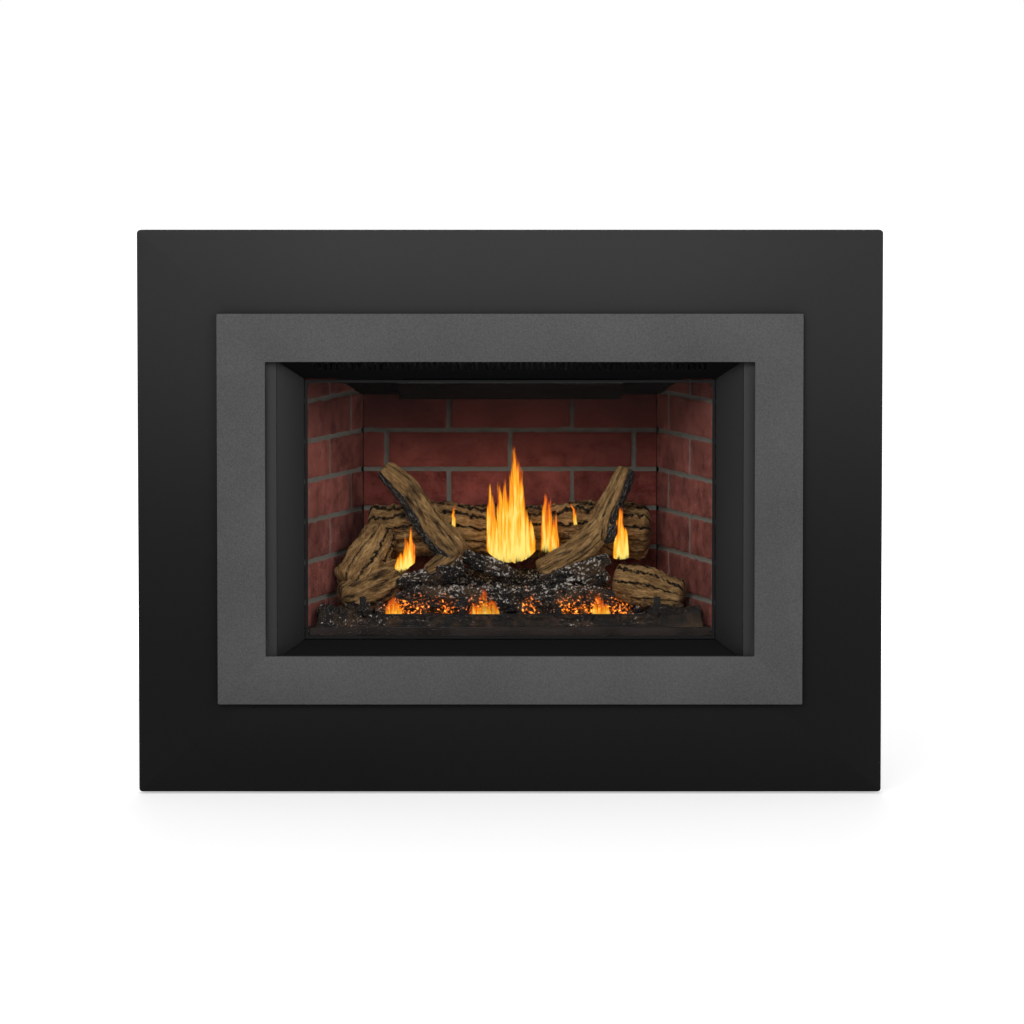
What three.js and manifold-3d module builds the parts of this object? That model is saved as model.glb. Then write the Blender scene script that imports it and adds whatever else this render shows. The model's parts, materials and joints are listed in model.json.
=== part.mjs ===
// Direct-vent gas fireplace insert: casing, brick-lined firebox with a log set, glass door, bezel,
// front frame and a four-sided surround.
// Millimetres, +Z up. While it is put together, Y is the depth behind the front frame's face and Z the
// height above the hearth. The last group centres the depth, so the origin is under the middle.
import * as THREE from "three";
import { mergeVertices } from "three/addons/utils/BufferGeometryUtils.js";
import Module from "manifold-3d";

// ---- Driving dimensions ---------------------------------------------------------------------------

const FIT = 0.3; // gap between pieces that touch
const SHEET = 2; // casing and firebox steel
const WELD = 0.5; // how far joined pieces run into each other
const TALL = 300; // reach of a cutter that has to pass a whole sheet
const HOLE_PLAY = 0.6; // radial room round a stud, stem or pipe in a sheet

// The sheet that hides the gap to the chimney opening.
const SURROUND = { width: 1118, height: 847, lift: 3, sheet: 2, turned: 25, corner: 5, topLap: 3 };

// The decorative frame over the surround, held on studs and pulled off to reach the controls.
const FRONT = {
  band: 72,
  sheet: 3,
  depth: 10,
  corner: 2,
  lapAbove: 1.5, // how far it hides the bezel
  lapBelow: 6.5,
  surroundLap: 13, // how far its lower edge hides the surround's window
  studRadius: 3,
  studLength: 7,
  studInset: 60,
  studOut: 7,
};

const TRIM_WIDTH = 17; // part of each side trim that shows inside the front frame

// Four mitred sheets that lead the eye in from the face to the glass.
const BEZEL = { sideRun: 40, topRun: 29.5, bottomRun: 27, depth: 31, sheet: 1.8 };
const REVEAL = { side: 2.5, top: 0.5 }; // firebox edge to the bezel's inner edge
const SLOT = { width: 4, pitch: 8.4, endMargin: 14, outerShare: 0.12, innerShare: 0.5 };

// Inside sizes, brick face to brick face.
const FIREBOX = {
  frontWidth: 616,
  backWidth: 458,
  depth: 242,
  height: 378,
  floorHeight: 246,
  flatDepth: 100, // ceiling that runs level before it slopes
  ceilingDrop: 46,
  rearFlange: 25, // ceiling that runs on behind the brick face
  sideFlange: 12, // and over the side walls
  lip: 15,
};

const BRICK = { length: 193, course: 61.1, joint: 7, relief: 3, panel: 22, firstCourse: -23, shortest: 4 };
const SHELL_GAP = 0.5; // brick panel to the steel behind it
const SIDE_JOINTS = { odd: [10, 203], even: [108] }; // along a side wall from its front edge

// A glass door that hangs on two pins at its top corners, so its lower edge swings out.
const DOOR = {
  rail: 4,
  thickness: 8,
  corner: 0.5,
  seat: 1.1,
  play: 1,
  topPlay: 2,
  glass: 5,
  ear: 9.5,
  earLap: 2,
};
const HINGE_PIN = { radius: 1.9, bore: 2, engaged: 5, drop: 3.5, sideGap: 1.5, bracketBelow: 8 };
const CLIP = { width: 26, inset: 160, sheet: 1.5, height: 10 };

const CASING = { sideSpace: 41.5, rearTaper: 85, topSpace: 69, baseHeight: 15, rearGap: 66 };
const FACE_RECESS = 10; // surround window to the casing's outer side

const VENT = { radius: 38.5, wall: 1.5, spacing: 190, above: 40, flange: 14, segments: 24 };
const VENT_REACH = { exhaust: 6, intake: 14 }; // how far a collar goes in
const DUCT = { width: 300, sidePlay: 4, top: 30, front: 35 };
const FLUE_HOLE = { width: 280, depth: 52 };
const BAFFLE = { width: 346, front: 13, length: 118, gap: 9, sheet: 1.5, lip: 4.5 };
const SPACER = { width: 16, inset: 6, depth: 14 }; // hangs the baffle from the ceiling
const RELIEF = { width: 150, depth: 60, centre: 172, front: 18, lap: 6, sheet: 1.5, knuckle: 2 };

const TRAY = { width: 430, front: 66, rear: 20, height: 10, sheet: 2 };
const EMBERS = { play: 1, above: 2, lump: 3, rise: 56, across: 30, deep: 12 };
// Where the embers rise to the rear log: depth behind the grate, and distance from the middle.
const EMBER_RAMP = { start: 50, end: 124, level: 128, edge: 170 };
const CHAR_LOG = { behindBar: 20, rise: 26 };
const CHARCOAL = {
  height: 11,
  lump: 3.5,
  heap: 16,
  heapWidth: 65,
  heapTop: 15,
  play: 2,
  front: 4,
  across: 44,
  deep: 3,
};
const GRATE = {
  span: 480,
  front: 36,
  bar: 10,
  step: 1, // posts stand out this far from the bar
  barHeight: 6,
  postTop: 42,
  postSpan: 448,
  arm: 12,
};
const GRATE_POSTS = [-1, -0.326, 0.326, 1]; // share of half the post span

const CONTROLS = { recess: 21, height: 48, below: 2, line: 24 };
const KNOB = { radius: 15, depth: 18, gap: 1, stem: 4, stemLength: 14, segments: 20 };
const POINTER = { width: 4, out: 1.2, root: 2, inset: 1 }; // ridge on a knob's face
const GAS_KNOB_X = 150;
const FAN_KNOB_X = -150;
const BUTTON = { x: 82, radius: 8, depth: 10, stem: 3.4, stemLength: 18, standOff: 7 };
const ROCKER = { x: -82, width: 13, height: 21, depth: 11, tilt: 7, play: 1.5 };

const VALVE = { width: 92, depth: 62, height: 54 };
const VALVE_INLET = { radius: 10, length: 12, drop: 10 };
const PIPE = { radius: 8.5, segments: 12, standOut: 14, setBack: 66, below: 14, room: 3, holeReach: 10 };
const SHUTOFF = { x: 285, body: 30, stem: 4, stemLength: 8, lever: 58, leverWidth: 12, leverSheet: 3 };
const STEM_PLAY = 0.1; // lever and rotor on their stems
const BURNER_LINE = { radius: 5, x: 60, share: 0.5, room: 2, bend: 4, segments: 4, steps: 12 };
const PILOT = { beside: 4, width: 26, share: 0.72, depth: 12, lift: 1, height: 9, root: 4 };
const PILOT_HOOD = { radius: 4.5, height: 24, segments: 12 };
const PROBES = { radius: 2.2, height: 30, spacing: 9, segments: 8 };

const BLOWER = { length: 380, radius: 30, blades: 12, hub: 4, gap: 8, sheet: 2, fromBack: 85, height: 80 };
const BLADE = { width: 8, sheet: 1.4, tilt: 0.6, inset: 5, endPlay: 1 };
const DISC = 3; // thickness of each rotor disc
const HUB_END = 8; // how far the hub stands out on the motor side
const MOTOR = { radius: 26, length: 52 };

const FOOT = { pad: 16, padHeight: 5, stud: 5, studTop: 34, frontInset: 40, rearInset: 46, sideInset: 46 };

const ROUND = 16; // facets of a small round piece

// ---- Depths and heights that follow from them -----------------------------------------------------

const surroundY = FRONT.depth + FIT;
const faceY = surroundY + SURROUND.sheet + FIT;
const bezelY = faceY + SHEET + FIT;
const doorY = bezelY + BEZEL.depth;
const fireboxY = doorY + DOOR.thickness + DOOR.seat;
const backWallY = fireboxY + FIREBOX.depth;
const fireboxBackY = backWallY + BRICK.panel + FIT;
const casingBackY = fireboxBackY + SHEET + CASING.rearGap;
const depth = casingBackY + SHEET;

const ceilingZ = FIREBOX.floorHeight + FIREBOX.height;
const bezelInner = {
  half: FIREBOX.frontWidth / 2 + REVEAL.side,
  bottom: FIREBOX.floorHeight - FIREBOX.lip - SHEET,
  top: ceilingZ + REVEAL.top,
};
const bezelOuter = {
  half: bezelInner.half + BEZEL.sideRun,
  bottom: bezelInner.bottom - BEZEL.bottomRun,
  top: bezelInner.top + BEZEL.topRun,
};
const frontOpening = {
  half: bezelOuter.half + TRIM_WIDTH,
  bottom: bezelOuter.bottom + FRONT.lapBelow,
  top: bezelOuter.top - FRONT.lapAbove,
};
const casingHalf = bezelOuter.half + CASING.sideSpace;
const casingRearHalf = casingHalf - CASING.rearTaper;
const casingBaseTop = CASING.baseHeight + SHEET;
const casingTop = ceilingZ + CASING.topSpace;
const surroundWindow = {
  half: casingHalf - FACE_RECESS,
  bottom: frontOpening.bottom - FRONT.band + FRONT.surroundLap,
  top: casingTop - SURROUND.topLap,
};

// ---- Shape helpers --------------------------------------------------------------------------------

const wasm = await Module();
wasm.setup();

function toSolid(geometry) {
  const bare = geometry.clone();
  bare.deleteAttribute("normal");
  bare.deleteAttribute("uv");
  const merged = mergeVertices(bare, 1e-4);
  const vertProperties = merged.attributes.position.array;
  return new wasm.Manifold(
    new wasm.Mesh({ numProp: 3, vertProperties, triVerts: new Uint32Array(merged.index.array) }),
  );
}

function toGeometry(solid) {
  const mesh = solid.getMesh();
  const geometry = new THREE.BufferGeometry();
  geometry.setAttribute("position", new THREE.BufferAttribute(mesh.vertProperties, 3));
  geometry.setIndex(new THREE.BufferAttribute(mesh.triVerts, 1));
  geometry.computeVertexNormals();
  return geometry;
}

function join(...geometries) {
  return toGeometry(geometries.map(toSolid).reduce((whole, piece) => whole.add(piece)));
}

function cut(base, ...tools) {
  return toGeometry(tools.map(toSolid).reduce((rest, tool) => rest.subtract(tool), toSolid(base)));
}

function common(a, b) {
  return toGeometry(toSolid(a).intersect(toSolid(b)));
}

// A box between two corners.
function box(x0, x1, y0, y1, z0, z1) {
  return new THREE.BoxGeometry(x1 - x0, y1 - y0, z1 - z0).translate(
    (x0 + x1) / 2,
    (y0 + y1) / 2,
    (z0 + z1) / 2,
  );
}

function outline(points) {
  return new THREE.Shape(points.map(([u, v]) => new THREE.Vector2(u, v)));
}

function extruded(shape, length, curveSegments = 3) {
  return new THREE.ExtrudeGeometry(shape, { depth: length, bevelEnabled: false, curveSegments });
}

// A plan outline (x, y) raised from z0 to z1.
function planPrism(points, z0, z1) {
  return extruded(outline(points), z1 - z0).translate(0, 0, z0);
}

// A side profile (y, z) run across the width from x0 to x1.
function profilePrism(points, x0, x1) {
  const turn = new THREE.Matrix4().makeBasis(
    new THREE.Vector3(0, 1, 0),
    new THREE.Vector3(0, 0, 1),
    new THREE.Vector3(1, 0, 0),
  );
  return extruded(outline(points), x1 - x0)
    .applyMatrix4(turn)
    .translate(x0, 0, 0);
}

// A front outline (x, z) that goes back from y0 by its thickness.
function facePlate(shape, y0, thickness) {
  return extruded(shape, thickness)
    .rotateX(Math.PI / 2)
    .translate(0, y0 + thickness, 0);
}

function roundedRectangle(half, bottom, top, corner, Kind = THREE.Shape) {
  const shape = new Kind();
  shape.moveTo(-half + corner, bottom);
  shape.lineTo(half - corner, bottom);
  shape.absarc(half - corner, bottom + corner, corner, -Math.PI / 2, 0);
  shape.lineTo(half, top - corner);
  shape.absarc(half - corner, top - corner, corner, 0, Math.PI / 2);
  shape.lineTo(-half + corner, top);
  shape.absarc(-half + corner, top - corner, corner, Math.PI / 2, Math.PI);
  shape.lineTo(-half, bottom + corner);
  shape.absarc(-half + corner, bottom + corner, corner, Math.PI, Math.PI * 1.5);
  return shape;
}

function ringShape(outer, inner, corner) {
  const shape = roundedRectangle(outer.half, outer.bottom, outer.top, corner);
  shape.holes.push(roundedRectangle(inner.half, inner.bottom, inner.top, corner, THREE.Path));
  return shape;
}

function grown(frame, by) {
  return { half: frame.half + by, bottom: frame.bottom - by, top: frame.top + by };
}

function rod(radius, length, segments = ROUND) {
  return new THREE.CylinderGeometry(radius, radius, length, segments);
}

// Rods along each axis, centred on a point.
function rodX(radius, x0, x1, y, z, segments) {
  return rod(radius, x1 - x0, segments).rotateZ(Math.PI / 2).translate((x0 + x1) / 2, y, z);
}

function rodY(radius, y0, y1, x, z, segments) {
  return rod(radius, y1 - y0, segments).translate(x, (y0 + y1) / 2, z);
}

function rodZ(radius, z0, z1, x, y, segments) {
  return rod(radius, z1 - z0, segments).rotateX(Math.PI / 2).translate(x, y, (z0 + z1) / 2);
}

// A turned piece round the vertical axis through (x, y), from a closed profile of [radius, z].
function turned(profile, x, y, segments = ROUND) {
  const points = profile.map(([radius, z]) => new THREE.Vector2(radius, z));
  return new THREE.LatheGeometry(points, segments).rotateX(Math.PI / 2).translate(x, y, 0);
}

// A closed slab between an outer and an inner edge, each given by its two end points.
function slab(corners, back) {
  const points = [...corners, ...corners.map((corner) => corner.map((v, i) => v + back[i]))];
  const geometry = new THREE.BufferGeometry();
  geometry.setAttribute("position", new THREE.Float32BufferAttribute(points.flat(), 3));
  const faces = [[0, 1, 2, 3], [7, 6, 5, 4], [4, 5, 1, 0], [5, 6, 2, 1], [6, 7, 3, 2], [7, 4, 0, 3]];
  geometry.setIndex(faces.flatMap(([a, b, c, d]) => [a, b, c, a, c, d]));
  return geometry;
}

// A log: rings round a smooth path, with ridges of bark that run along it.
function limb(points, radii, { sides = 11, rings = 9, seed = 0 } = {}) {
  const path = new THREE.CatmullRomCurve3(points.map((point) => new THREE.Vector3(...point)));
  const frames = path.computeFrenetFrames(rings);
  const position = [];
  const index = [];
  for (let ring = 0; ring <= rings; ring += 1) {
    const along = ring / rings;
    const centre = path.getPointAt(along);
    const share = along * (radii.length - 1);
    const low = Math.min(Math.floor(share), radii.length - 2);
    const radius = THREE.MathUtils.lerp(radii[low], radii[low + 1], share - low);
    for (let side = 0; side < sides; side += 1) {
      const angle = (2 * Math.PI * side) / sides;
      const bark = 0.1 * Math.sin(3 * angle + seed + 2 * along) + 0.06 * Math.sin(5 * angle - 2 * seed);
      const knots = 0.08 * Math.sin(9 * along + seed) * Math.cos(angle + seed);
      const reach = radius * (1 + bark + knots);
      const point = centre
        .clone()
        .addScaledVector(frames.normals[ring], reach * Math.cos(angle))
        .addScaledVector(frames.binormals[ring], reach * Math.sin(angle));
      position.push(point.x, point.y, point.z);
    }
  }
  for (let ring = 0; ring < rings; ring += 1) {
    for (let side = 0; side < sides; side += 1) {
      const next = (side + 1) % sides;
      const [a, b] = [ring * sides + side, ring * sides + next];
      index.push(a, b, a + sides, b, b + sides, a + sides);
    }
  }
  const last = rings * sides;
  for (const [end, first, swap] of [[0, 0, true], [1, last, false]]) {
    const centre = path.getPointAt(end);
    const hub = position.length / 3;
    position.push(centre.x, centre.y, centre.z);
    for (let side = 0; side < sides; side += 1) {
      const [a, b] = [first + side, first + ((side + 1) % sides)];
      index.push(hub, swap ? b : a, swap ? a : b);
    }
  }
  const geometry = new THREE.BufferGeometry();
  geometry.setAttribute("position", new THREE.Float32BufferAttribute(position, 3));
  geometry.setIndex(index);
  return geometry;
}

// A bed of lumps with a flat underside. height(x, y) gives its top.
function mound(x0, x1, y0, y1, z0, height, across, deep) {
  const geometry = new THREE.BoxGeometry(x1 - x0, y1 - y0, 1, across, deep, 1).translate(
    (x0 + x1) / 2,
    (y0 + y1) / 2,
    z0 + 0.5,
  );
  const place = geometry.attributes.position;
  for (let i = 0; i < place.count; i += 1) {
    if (place.getZ(i) > z0 + 0.5) place.setZ(i, height(place.getX(i), place.getY(i)));
  }
  return geometry;
}

// ---- Materials ------------------------------------------------------------------------------------

function finish(color, roughness, metalness = 0, more = {}) {
  return new THREE.MeshStandardMaterial({ color, roughness, metalness, ...more });
}

const blackPaint = finish(0x26272a, 0.55, 0.2);
const charcoalPaint = finish(0x505153, 0.6, 0.2);
const heatPaint = finish(0x141415, 0.7, 0.1);
const plainSteel = finish(0x8b8e91, 0.4, 0.9);
const brick = finish(0x6b3830, 0.9);
const bark = finish(0x6e5431, 0.95);
const charred = finish(0x1f1c1b, 0.95);
const embers = finish(0xd05a18, 0.9, 0, { emissive: 0x8a2a05 });
const castIron = finish(0x151515, 0.75, 0.3);
const brass = finish(0xb08d4a, 0.35, 0.9);
const blackPlastic = finish(0x18181a, 0.45);
const redPlastic = finish(0xa32a20, 0.45);
const ceramicGlass = finish(0xe8eef0, 0.05, 0, { transparent: true, opacity: 0.2 });

const insert = new THREE.Group();
insert.position.y = -depth / 2;

function add(name, geometry, material) {
  const mesh = new THREE.Mesh(geometry, material);
  mesh.name = name;
  insert.add(mesh);
  return mesh;
}

// The right-hand piece as drawn, and its mirror image on the left.
function addPair(name, geometry, material) {
  add(`${name}_right`, geometry, material);
  add(`${name}_left`, geometry, material).scale.x = -1;
}

// ---- Face: surround, front frame, trims, header ---------------------------------------------------

const surroundOuter = {
  half: SURROUND.width / 2,
  bottom: SURROUND.lift,
  top: SURROUND.lift + SURROUND.height,
};
add(
  "surround_panel",
  join(
    facePlate(ringShape(surroundOuter, surroundWindow, SURROUND.corner), surroundY, SURROUND.sheet),
    facePlate(
      ringShape(surroundOuter, grown(surroundOuter, -SURROUND.sheet), SURROUND.corner),
      surroundY,
      SURROUND.turned,
    ),
  ),
  blackPaint,
);

const frontOuter = grown(frontOpening, FRONT.band);
const studX = frontOpening.half + FRONT.studOut;
const studZ = [frontOpening.bottom + FRONT.studInset, frontOpening.top - FRONT.studInset];
const studPlaces = [-studX, studX].flatMap((x) => studZ.map((z) => [x, z]));
add(
  "front_frame",
  join(
    facePlate(ringShape(frontOuter, frontOpening, FRONT.corner), 0, FRONT.sheet),
    facePlate(ringShape(frontOuter, grown(frontOuter, -FRONT.sheet), FRONT.corner), 0, FRONT.depth),
    facePlate(ringShape(grown(frontOpening, FRONT.sheet), frontOpening, FRONT.corner), 0, FRONT.depth),
    ...studPlaces.map(([x, z]) =>
      rodY(FRONT.studRadius, FRONT.sheet - 1, faceY + SHEET + FRONT.studLength, x, z),
    ),
  ),
  charcoalPaint,
);

const trimBottom = surroundWindow.bottom;
const trimTop = bezelOuter.top + FIT;
addPair(
  "side_trim",
  cut(
    box(bezelOuter.half + FIT, casingHalf, faceY, faceY + SHEET, trimBottom, trimTop),
    ...studZ.map((z) => rodY(FRONT.studRadius + HOLE_PLAY, faceY - 1, faceY + SHEET + 1, studX, z)),
  ),
  blackPaint,
);
add(
  "face_header",
  box(-casingHalf, casingHalf, faceY, faceY + SHEET, trimTop + FIT, casingTop),
  heatPaint,
);

// ---- Bezel ----------------------------------------------------------------------------------------

function bezelSlab(corners) {
  const lift = ([x, z, inner]) => [x, inner ? doorY : bezelY, z];
  return slab(corners.map(lift), [0, BEZEL.sheet, 0]);
}

const MITRE = FIT; // taken off each mitred end
addPair(
  "bezel",
  bezelSlab([
    [bezelOuter.half, bezelOuter.bottom + MITRE, false],
    [bezelOuter.half, bezelOuter.top - MITRE, false],
    [bezelInner.half, bezelInner.top - MITRE, true],
    [bezelInner.half, bezelInner.bottom + MITRE, true],
  ]),
  blackPaint,
);

add(
  "bezel_bottom",
  bezelSlab([
    [-bezelOuter.half + MITRE, bezelOuter.bottom, false],
    [bezelOuter.half - MITRE, bezelOuter.bottom, false],
    [bezelInner.half - MITRE, bezelInner.bottom, true],
    [-bezelInner.half + MITRE, bezelInner.bottom, true],
  ]),
  blackPaint,
);

const slotCount = 2 * Math.floor((bezelInner.half - SLOT.endMargin) / SLOT.pitch) + 1;
const slotTop = bezelOuter.top - SLOT.outerShare * BEZEL.topRun;
const slotBottom = bezelOuter.top - SLOT.innerShare * BEZEL.topRun;
const slots = Array.from({ length: slotCount }, (_, i) => {
  const x = (i - (slotCount - 1) / 2) * SLOT.pitch;
  return box(x - SLOT.width / 2, x + SLOT.width / 2, 0, doorY + BEZEL.sheet, slotBottom, slotTop);
});
add(
  "bezel_top",
  cut(
    bezelSlab([
      [-bezelInner.half + MITRE, bezelInner.top, true],
      [bezelInner.half - MITRE, bezelInner.top, true],
      [bezelOuter.half - MITRE, bezelOuter.top, false],
      [-bezelOuter.half + MITRE, bezelOuter.top, false],
    ]),
    ...slots,
  ),
  blackPaint,
);

// ---- Casing ---------------------------------------------------------------------------------------

const taper = CASING.rearTaper / (casingBackY + SHEET - bezelY);
const casingHalfAt = (y) => casingHalf - taper * (y - bezelY);
const casingPlan = [
  [-casingHalf, bezelY],
  [casingHalf, bezelY],
  [casingRearHalf, depth],
  [-casingRearHalf, depth],
];

const feetPlaces = [
  ["front_left", -1, bezelY + FOOT.frontInset],
  ["front_right", 1, bezelY + FOOT.frontInset],
  ["rear_left", -1, casingBackY - FOOT.rearInset],
  ["rear_right", 1, casingBackY - FOOT.rearInset],
].map(([corner, side, y]) => [corner, side * (casingHalfAt(y) - FOOT.sideInset), y]);

const footHoles = feetPlaces.map(([, x, y]) =>
  rodZ(FOOT.stud + HOLE_PLAY, CASING.baseHeight - 1, casingBaseTop + 1, x, y),
);
const apron = box(-casingHalf, casingHalf, faceY, faceY + SHEET, CASING.baseHeight, trimBottom - FIT);
add(
  "casing_base",
  cut(
    join(
      planPrism(casingPlan, CASING.baseHeight, casingBaseTop),
      apron,
      box(-casingHalf, casingHalf, faceY, bezelY + 1, CASING.baseHeight, casingBaseTop),
    ),
    ...footHoles,
  ),
  heatPaint,
);

const sideEndY = casingBackY - FIT;
const pipeY = bezelY + PIPE.setBack;
const controlsZ = trimBottom + CONTROLS.below;
const pipeZ = controlsZ - PIPE.below;
const casingSide = planPrism(
  [
    [casingHalf - SHEET, bezelY],
    [casingHalf, bezelY],
    [casingHalfAt(sideEndY), sideEndY],
    [casingHalfAt(sideEndY) - SHEET, sideEndY],
  ],
  casingBaseTop + FIT,
  casingTop - SHEET - FIT,
);
add(
  "casing_right",
  cut(
    casingSide,
    rodX(
      PIPE.radius + PIPE.room,
      casingHalfAt(pipeY) - PIPE.holeReach,
      casingHalfAt(pipeY) + PIPE.holeReach,
      pipeY,
      pipeZ,
    ),
  ),
  heatPaint,
);
add("casing_left", casingSide, heatPaint).scale.x = -1;

add(
  "casing_back",
  box(
    -casingRearHalf,
    casingRearHalf,
    casingBackY,
    depth,
    casingBaseTop + FIT,
    casingTop - SHEET - FIT,
  ),
  heatPaint,
);

const ductHalfDepth = VENT.radius + SHEET + DUCT.sidePlay;
const ventY = fireboxY + FIREBOX.flatDepth + DUCT.front + ductHalfDepth;
const exhaustX = -VENT.spacing / 2;
const intakeX = VENT.spacing / 2;
add(
  "casing_top",
  cut(
    planPrism(casingPlan, casingTop - SHEET, casingTop),
    ...[exhaustX, intakeX].map((x) =>
      rodZ(VENT.radius + HOLE_PLAY, casingTop - SHEET - 1, casingTop + 1, x, ventY, VENT.segments),
    ),
  ),
  heatPaint,
);

// ---- Firebox steel --------------------------------------------------------------------------------

// A side wall runs from its front edge to the back wall. Its local axes are along the wall, up, and out.
const wallStart = new THREE.Vector3(FIREBOX.frontWidth / 2, fireboxY, 0);
const wallEnd = new THREE.Vector3(FIREBOX.backWidth / 2, backWallY, 0);
const wallAlong = wallEnd.clone().sub(wallStart).normalize();
const wallLength = wallEnd.distanceTo(wallStart);
const up = new THREE.Vector3(0, 0, 1);
const wallOut = wallAlong.clone().cross(up);

function onWall(shape, from, thickness) {
  const turn = new THREE.Matrix4().makeBasis(wallAlong, up, wallOut).setPosition(wallStart);
  return extruded(shape, thickness).translate(0, 0, from).applyMatrix4(turn);
}

const slopeY = fireboxY + FIREBOX.flatDepth;
const slopeFall = FIREBOX.ceilingDrop / (FIREBOX.depth - FIREBOX.flatDepth + FIREBOX.rearFlange);
const ceilingAt = (y) => ceilingZ - slopeFall * Math.max(0, y - slopeY);
const alongAt = (y) => (y - fireboxY) / wallAlong.y;

// The wall's outline under the ceiling: along the wall and height, at a distance below the ceiling.
function wallOutline(end, drop, lean) {
  const reach = end / wallLength * FIREBOX.depth;
  const bottom = FIREBOX.floorHeight + FIT;
  return outline([
    [0, bottom],
    [end, bottom],
    [end, ceilingAt(fireboxY + reach + lean) - drop],
    [alongAt(slopeY - lean), ceilingZ - drop],
    [0, ceilingZ - drop],
  ]);
}

const shellGap = BRICK.panel + SHELL_GAP;
const shellLean = (shellGap + SHEET) * wallOut.y;
const shellEnd = (fireboxBackY - FIT - fireboxY - shellLean) / wallAlong.y;
addPair("firebox", onWall(wallOutline(shellEnd, FIT, shellLean), shellGap, SHEET), plainSteel);

const shellBackHalf = wallStart.x + wallAlong.x * shellEnd + (shellGap + SHEET) * wallOut.x;
add(
  "firebox_back",
  box(
    -shellBackHalf,
    shellBackHalf,
    fireboxBackY,
    fireboxBackY + SHEET,
    FIREBOX.floorHeight + FIT,
    ceilingAt(fireboxBackY + SHEET) - FIT,
  ),
  plainSteel,
);

const floorRearY = fireboxBackY + SHEET + 1;
const floorHalfAt = (y) => casingHalfAt(y) - SHEET - 2 * FIT;
const burnerHole = [BURNER_LINE.x, fireboxY + FIREBOX.depth * BURNER_LINE.share];
add(
  "firebox_floor",
  cut(
    join(
      planPrism(
        [
          [-floorHalfAt(fireboxY), fireboxY],
          [floorHalfAt(fireboxY), fireboxY],
          [floorHalfAt(floorRearY), floorRearY],
          [-floorHalfAt(floorRearY), floorRearY],
        ],
        FIREBOX.floorHeight - SHEET,
        FIREBOX.floorHeight,
      ),
      box(
        -bezelInner.half,
        bezelInner.half,
        fireboxY,
        fireboxY + SHEET,
        FIREBOX.floorHeight - SHEET - FIREBOX.lip,
        FIREBOX.floorHeight,
      ),
    ),
    rodZ(
      BURNER_LINE.radius + BURNER_LINE.room,
      FIREBOX.floorHeight - SHEET - 1,
      FIREBOX.floorHeight + 1,
      ...burnerHole,
    ),
  ),
  plainSteel,
);

const flangeY = backWallY + FIREBOX.rearFlange;
const ceilingProfile = (lower, upper) => [
  [fireboxY, ceilingZ + lower],
  [slopeY, ceilingZ + lower],
  [flangeY, ceilingAt(flangeY) + lower],
  [flangeY, ceilingAt(flangeY) + upper],
  [slopeY, ceilingZ + upper],
  [fireboxY, ceilingZ + upper],
];
const ceilingHalfAt = (y) =>
  wallStart.x + shellGap + FIREBOX.sideFlange + (y - fireboxY) * (wallAlong.x / wallAlong.y);
const ceilingPlan = planPrism(
  [
    [-ceilingHalfAt(fireboxY), fireboxY - 1],
    [ceilingHalfAt(fireboxY), fireboxY - 1],
    [ceilingHalfAt(flangeY), flangeY + 1],
    [-ceilingHalfAt(flangeY), flangeY + 1],
  ],
  ceilingZ - TALL,
  ceilingZ + TALL,
);
const reliefY = fireboxY + RELIEF.front;
const reliefHole = (x) =>
  box(
    x - RELIEF.width / 2,
    x + RELIEF.width / 2,
    reliefY,
    reliefY + RELIEF.depth,
    ceilingZ - 1,
    ceilingZ + SHEET + 1,
  );
add(
  "firebox_top",
  cut(
    common(profilePrism(ceilingProfile(0, SHEET), -casingHalf, casingHalf), ceilingPlan),
    box(
      -FLUE_HOLE.width / 2,
      FLUE_HOLE.width / 2,
      ventY - FLUE_HOLE.depth / 2,
      ventY + FLUE_HOLE.depth / 2,
      ceilingZ - TALL,
      ceilingZ + TALL,
    ),
    reliefHole(-RELIEF.centre),
    reliefHole(RELIEF.centre),
  ),
  plainSteel,
);

// Each relief flap lies over its hole by its own weight and lifts about its rear edge.
const flapZ = ceilingZ + SHEET + FIT;
const flapRearY = reliefY + RELIEF.depth + RELIEF.lap;
function reliefFlap(x) {
  const half = RELIEF.width / 2 + RELIEF.lap;
  return join(
    box(x - half, x + half, reliefY - RELIEF.lap, flapRearY, flapZ, flapZ + RELIEF.sheet),
    rodX(RELIEF.knuckle, x - half, x + half, flapRearY, flapZ + RELIEF.knuckle, 12),
  );
}
add("relief_flap_left", reliefFlap(-RELIEF.centre), plainSteel);
add("relief_flap_right", reliefFlap(RELIEF.centre), plainSteel);

const baffleY = slopeY + BAFFLE.front;
const baffleEndY = baffleY + BAFFLE.length;
const baffleTopAt = (y) => ceilingAt(y) - BAFFLE.gap;
const spacerY = baffleY + SPACER.inset;
const spacerEndY = spacerY + SPACER.depth;
const baffleSpacer = (x) =>
  profilePrism(
    [
      [spacerY, baffleTopAt(spacerY) - WELD],
      [spacerEndY, baffleTopAt(spacerEndY) - WELD],
      [spacerEndY, ceilingAt(spacerEndY) - FIT],
      [spacerY, ceilingAt(spacerY) - FIT],
    ],
    x - SPACER.width / 2,
    x + SPACER.width / 2,
  );
add(
  "flue_baffle",
  join(
    profilePrism(
      [
        [baffleY, baffleTopAt(baffleY) - BAFFLE.sheet],
        [baffleEndY, baffleTopAt(baffleEndY) - BAFFLE.sheet],
        [baffleEndY, baffleTopAt(baffleEndY)],
        [baffleY, baffleTopAt(baffleY)],
      ],
      -BAFFLE.width / 2,
      BAFFLE.width / 2,
    ),
    box(
      -BAFFLE.width / 2,
      BAFFLE.width / 2,
      baffleY,
      baffleY + BAFFLE.sheet,
      baffleTopAt(baffleY) - BAFFLE.sheet,
      baffleTopAt(baffleY) + BAFFLE.lip - BAFFLE.sheet,
    ),
    baffleSpacer(-BAFFLE.width / 2 + SPACER.width),
    baffleSpacer(BAFFLE.width / 2 - SPACER.width),
  ),
  heatPaint,
);

// ---- Flue and air inlet ---------------------------------------------------------------------------

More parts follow.
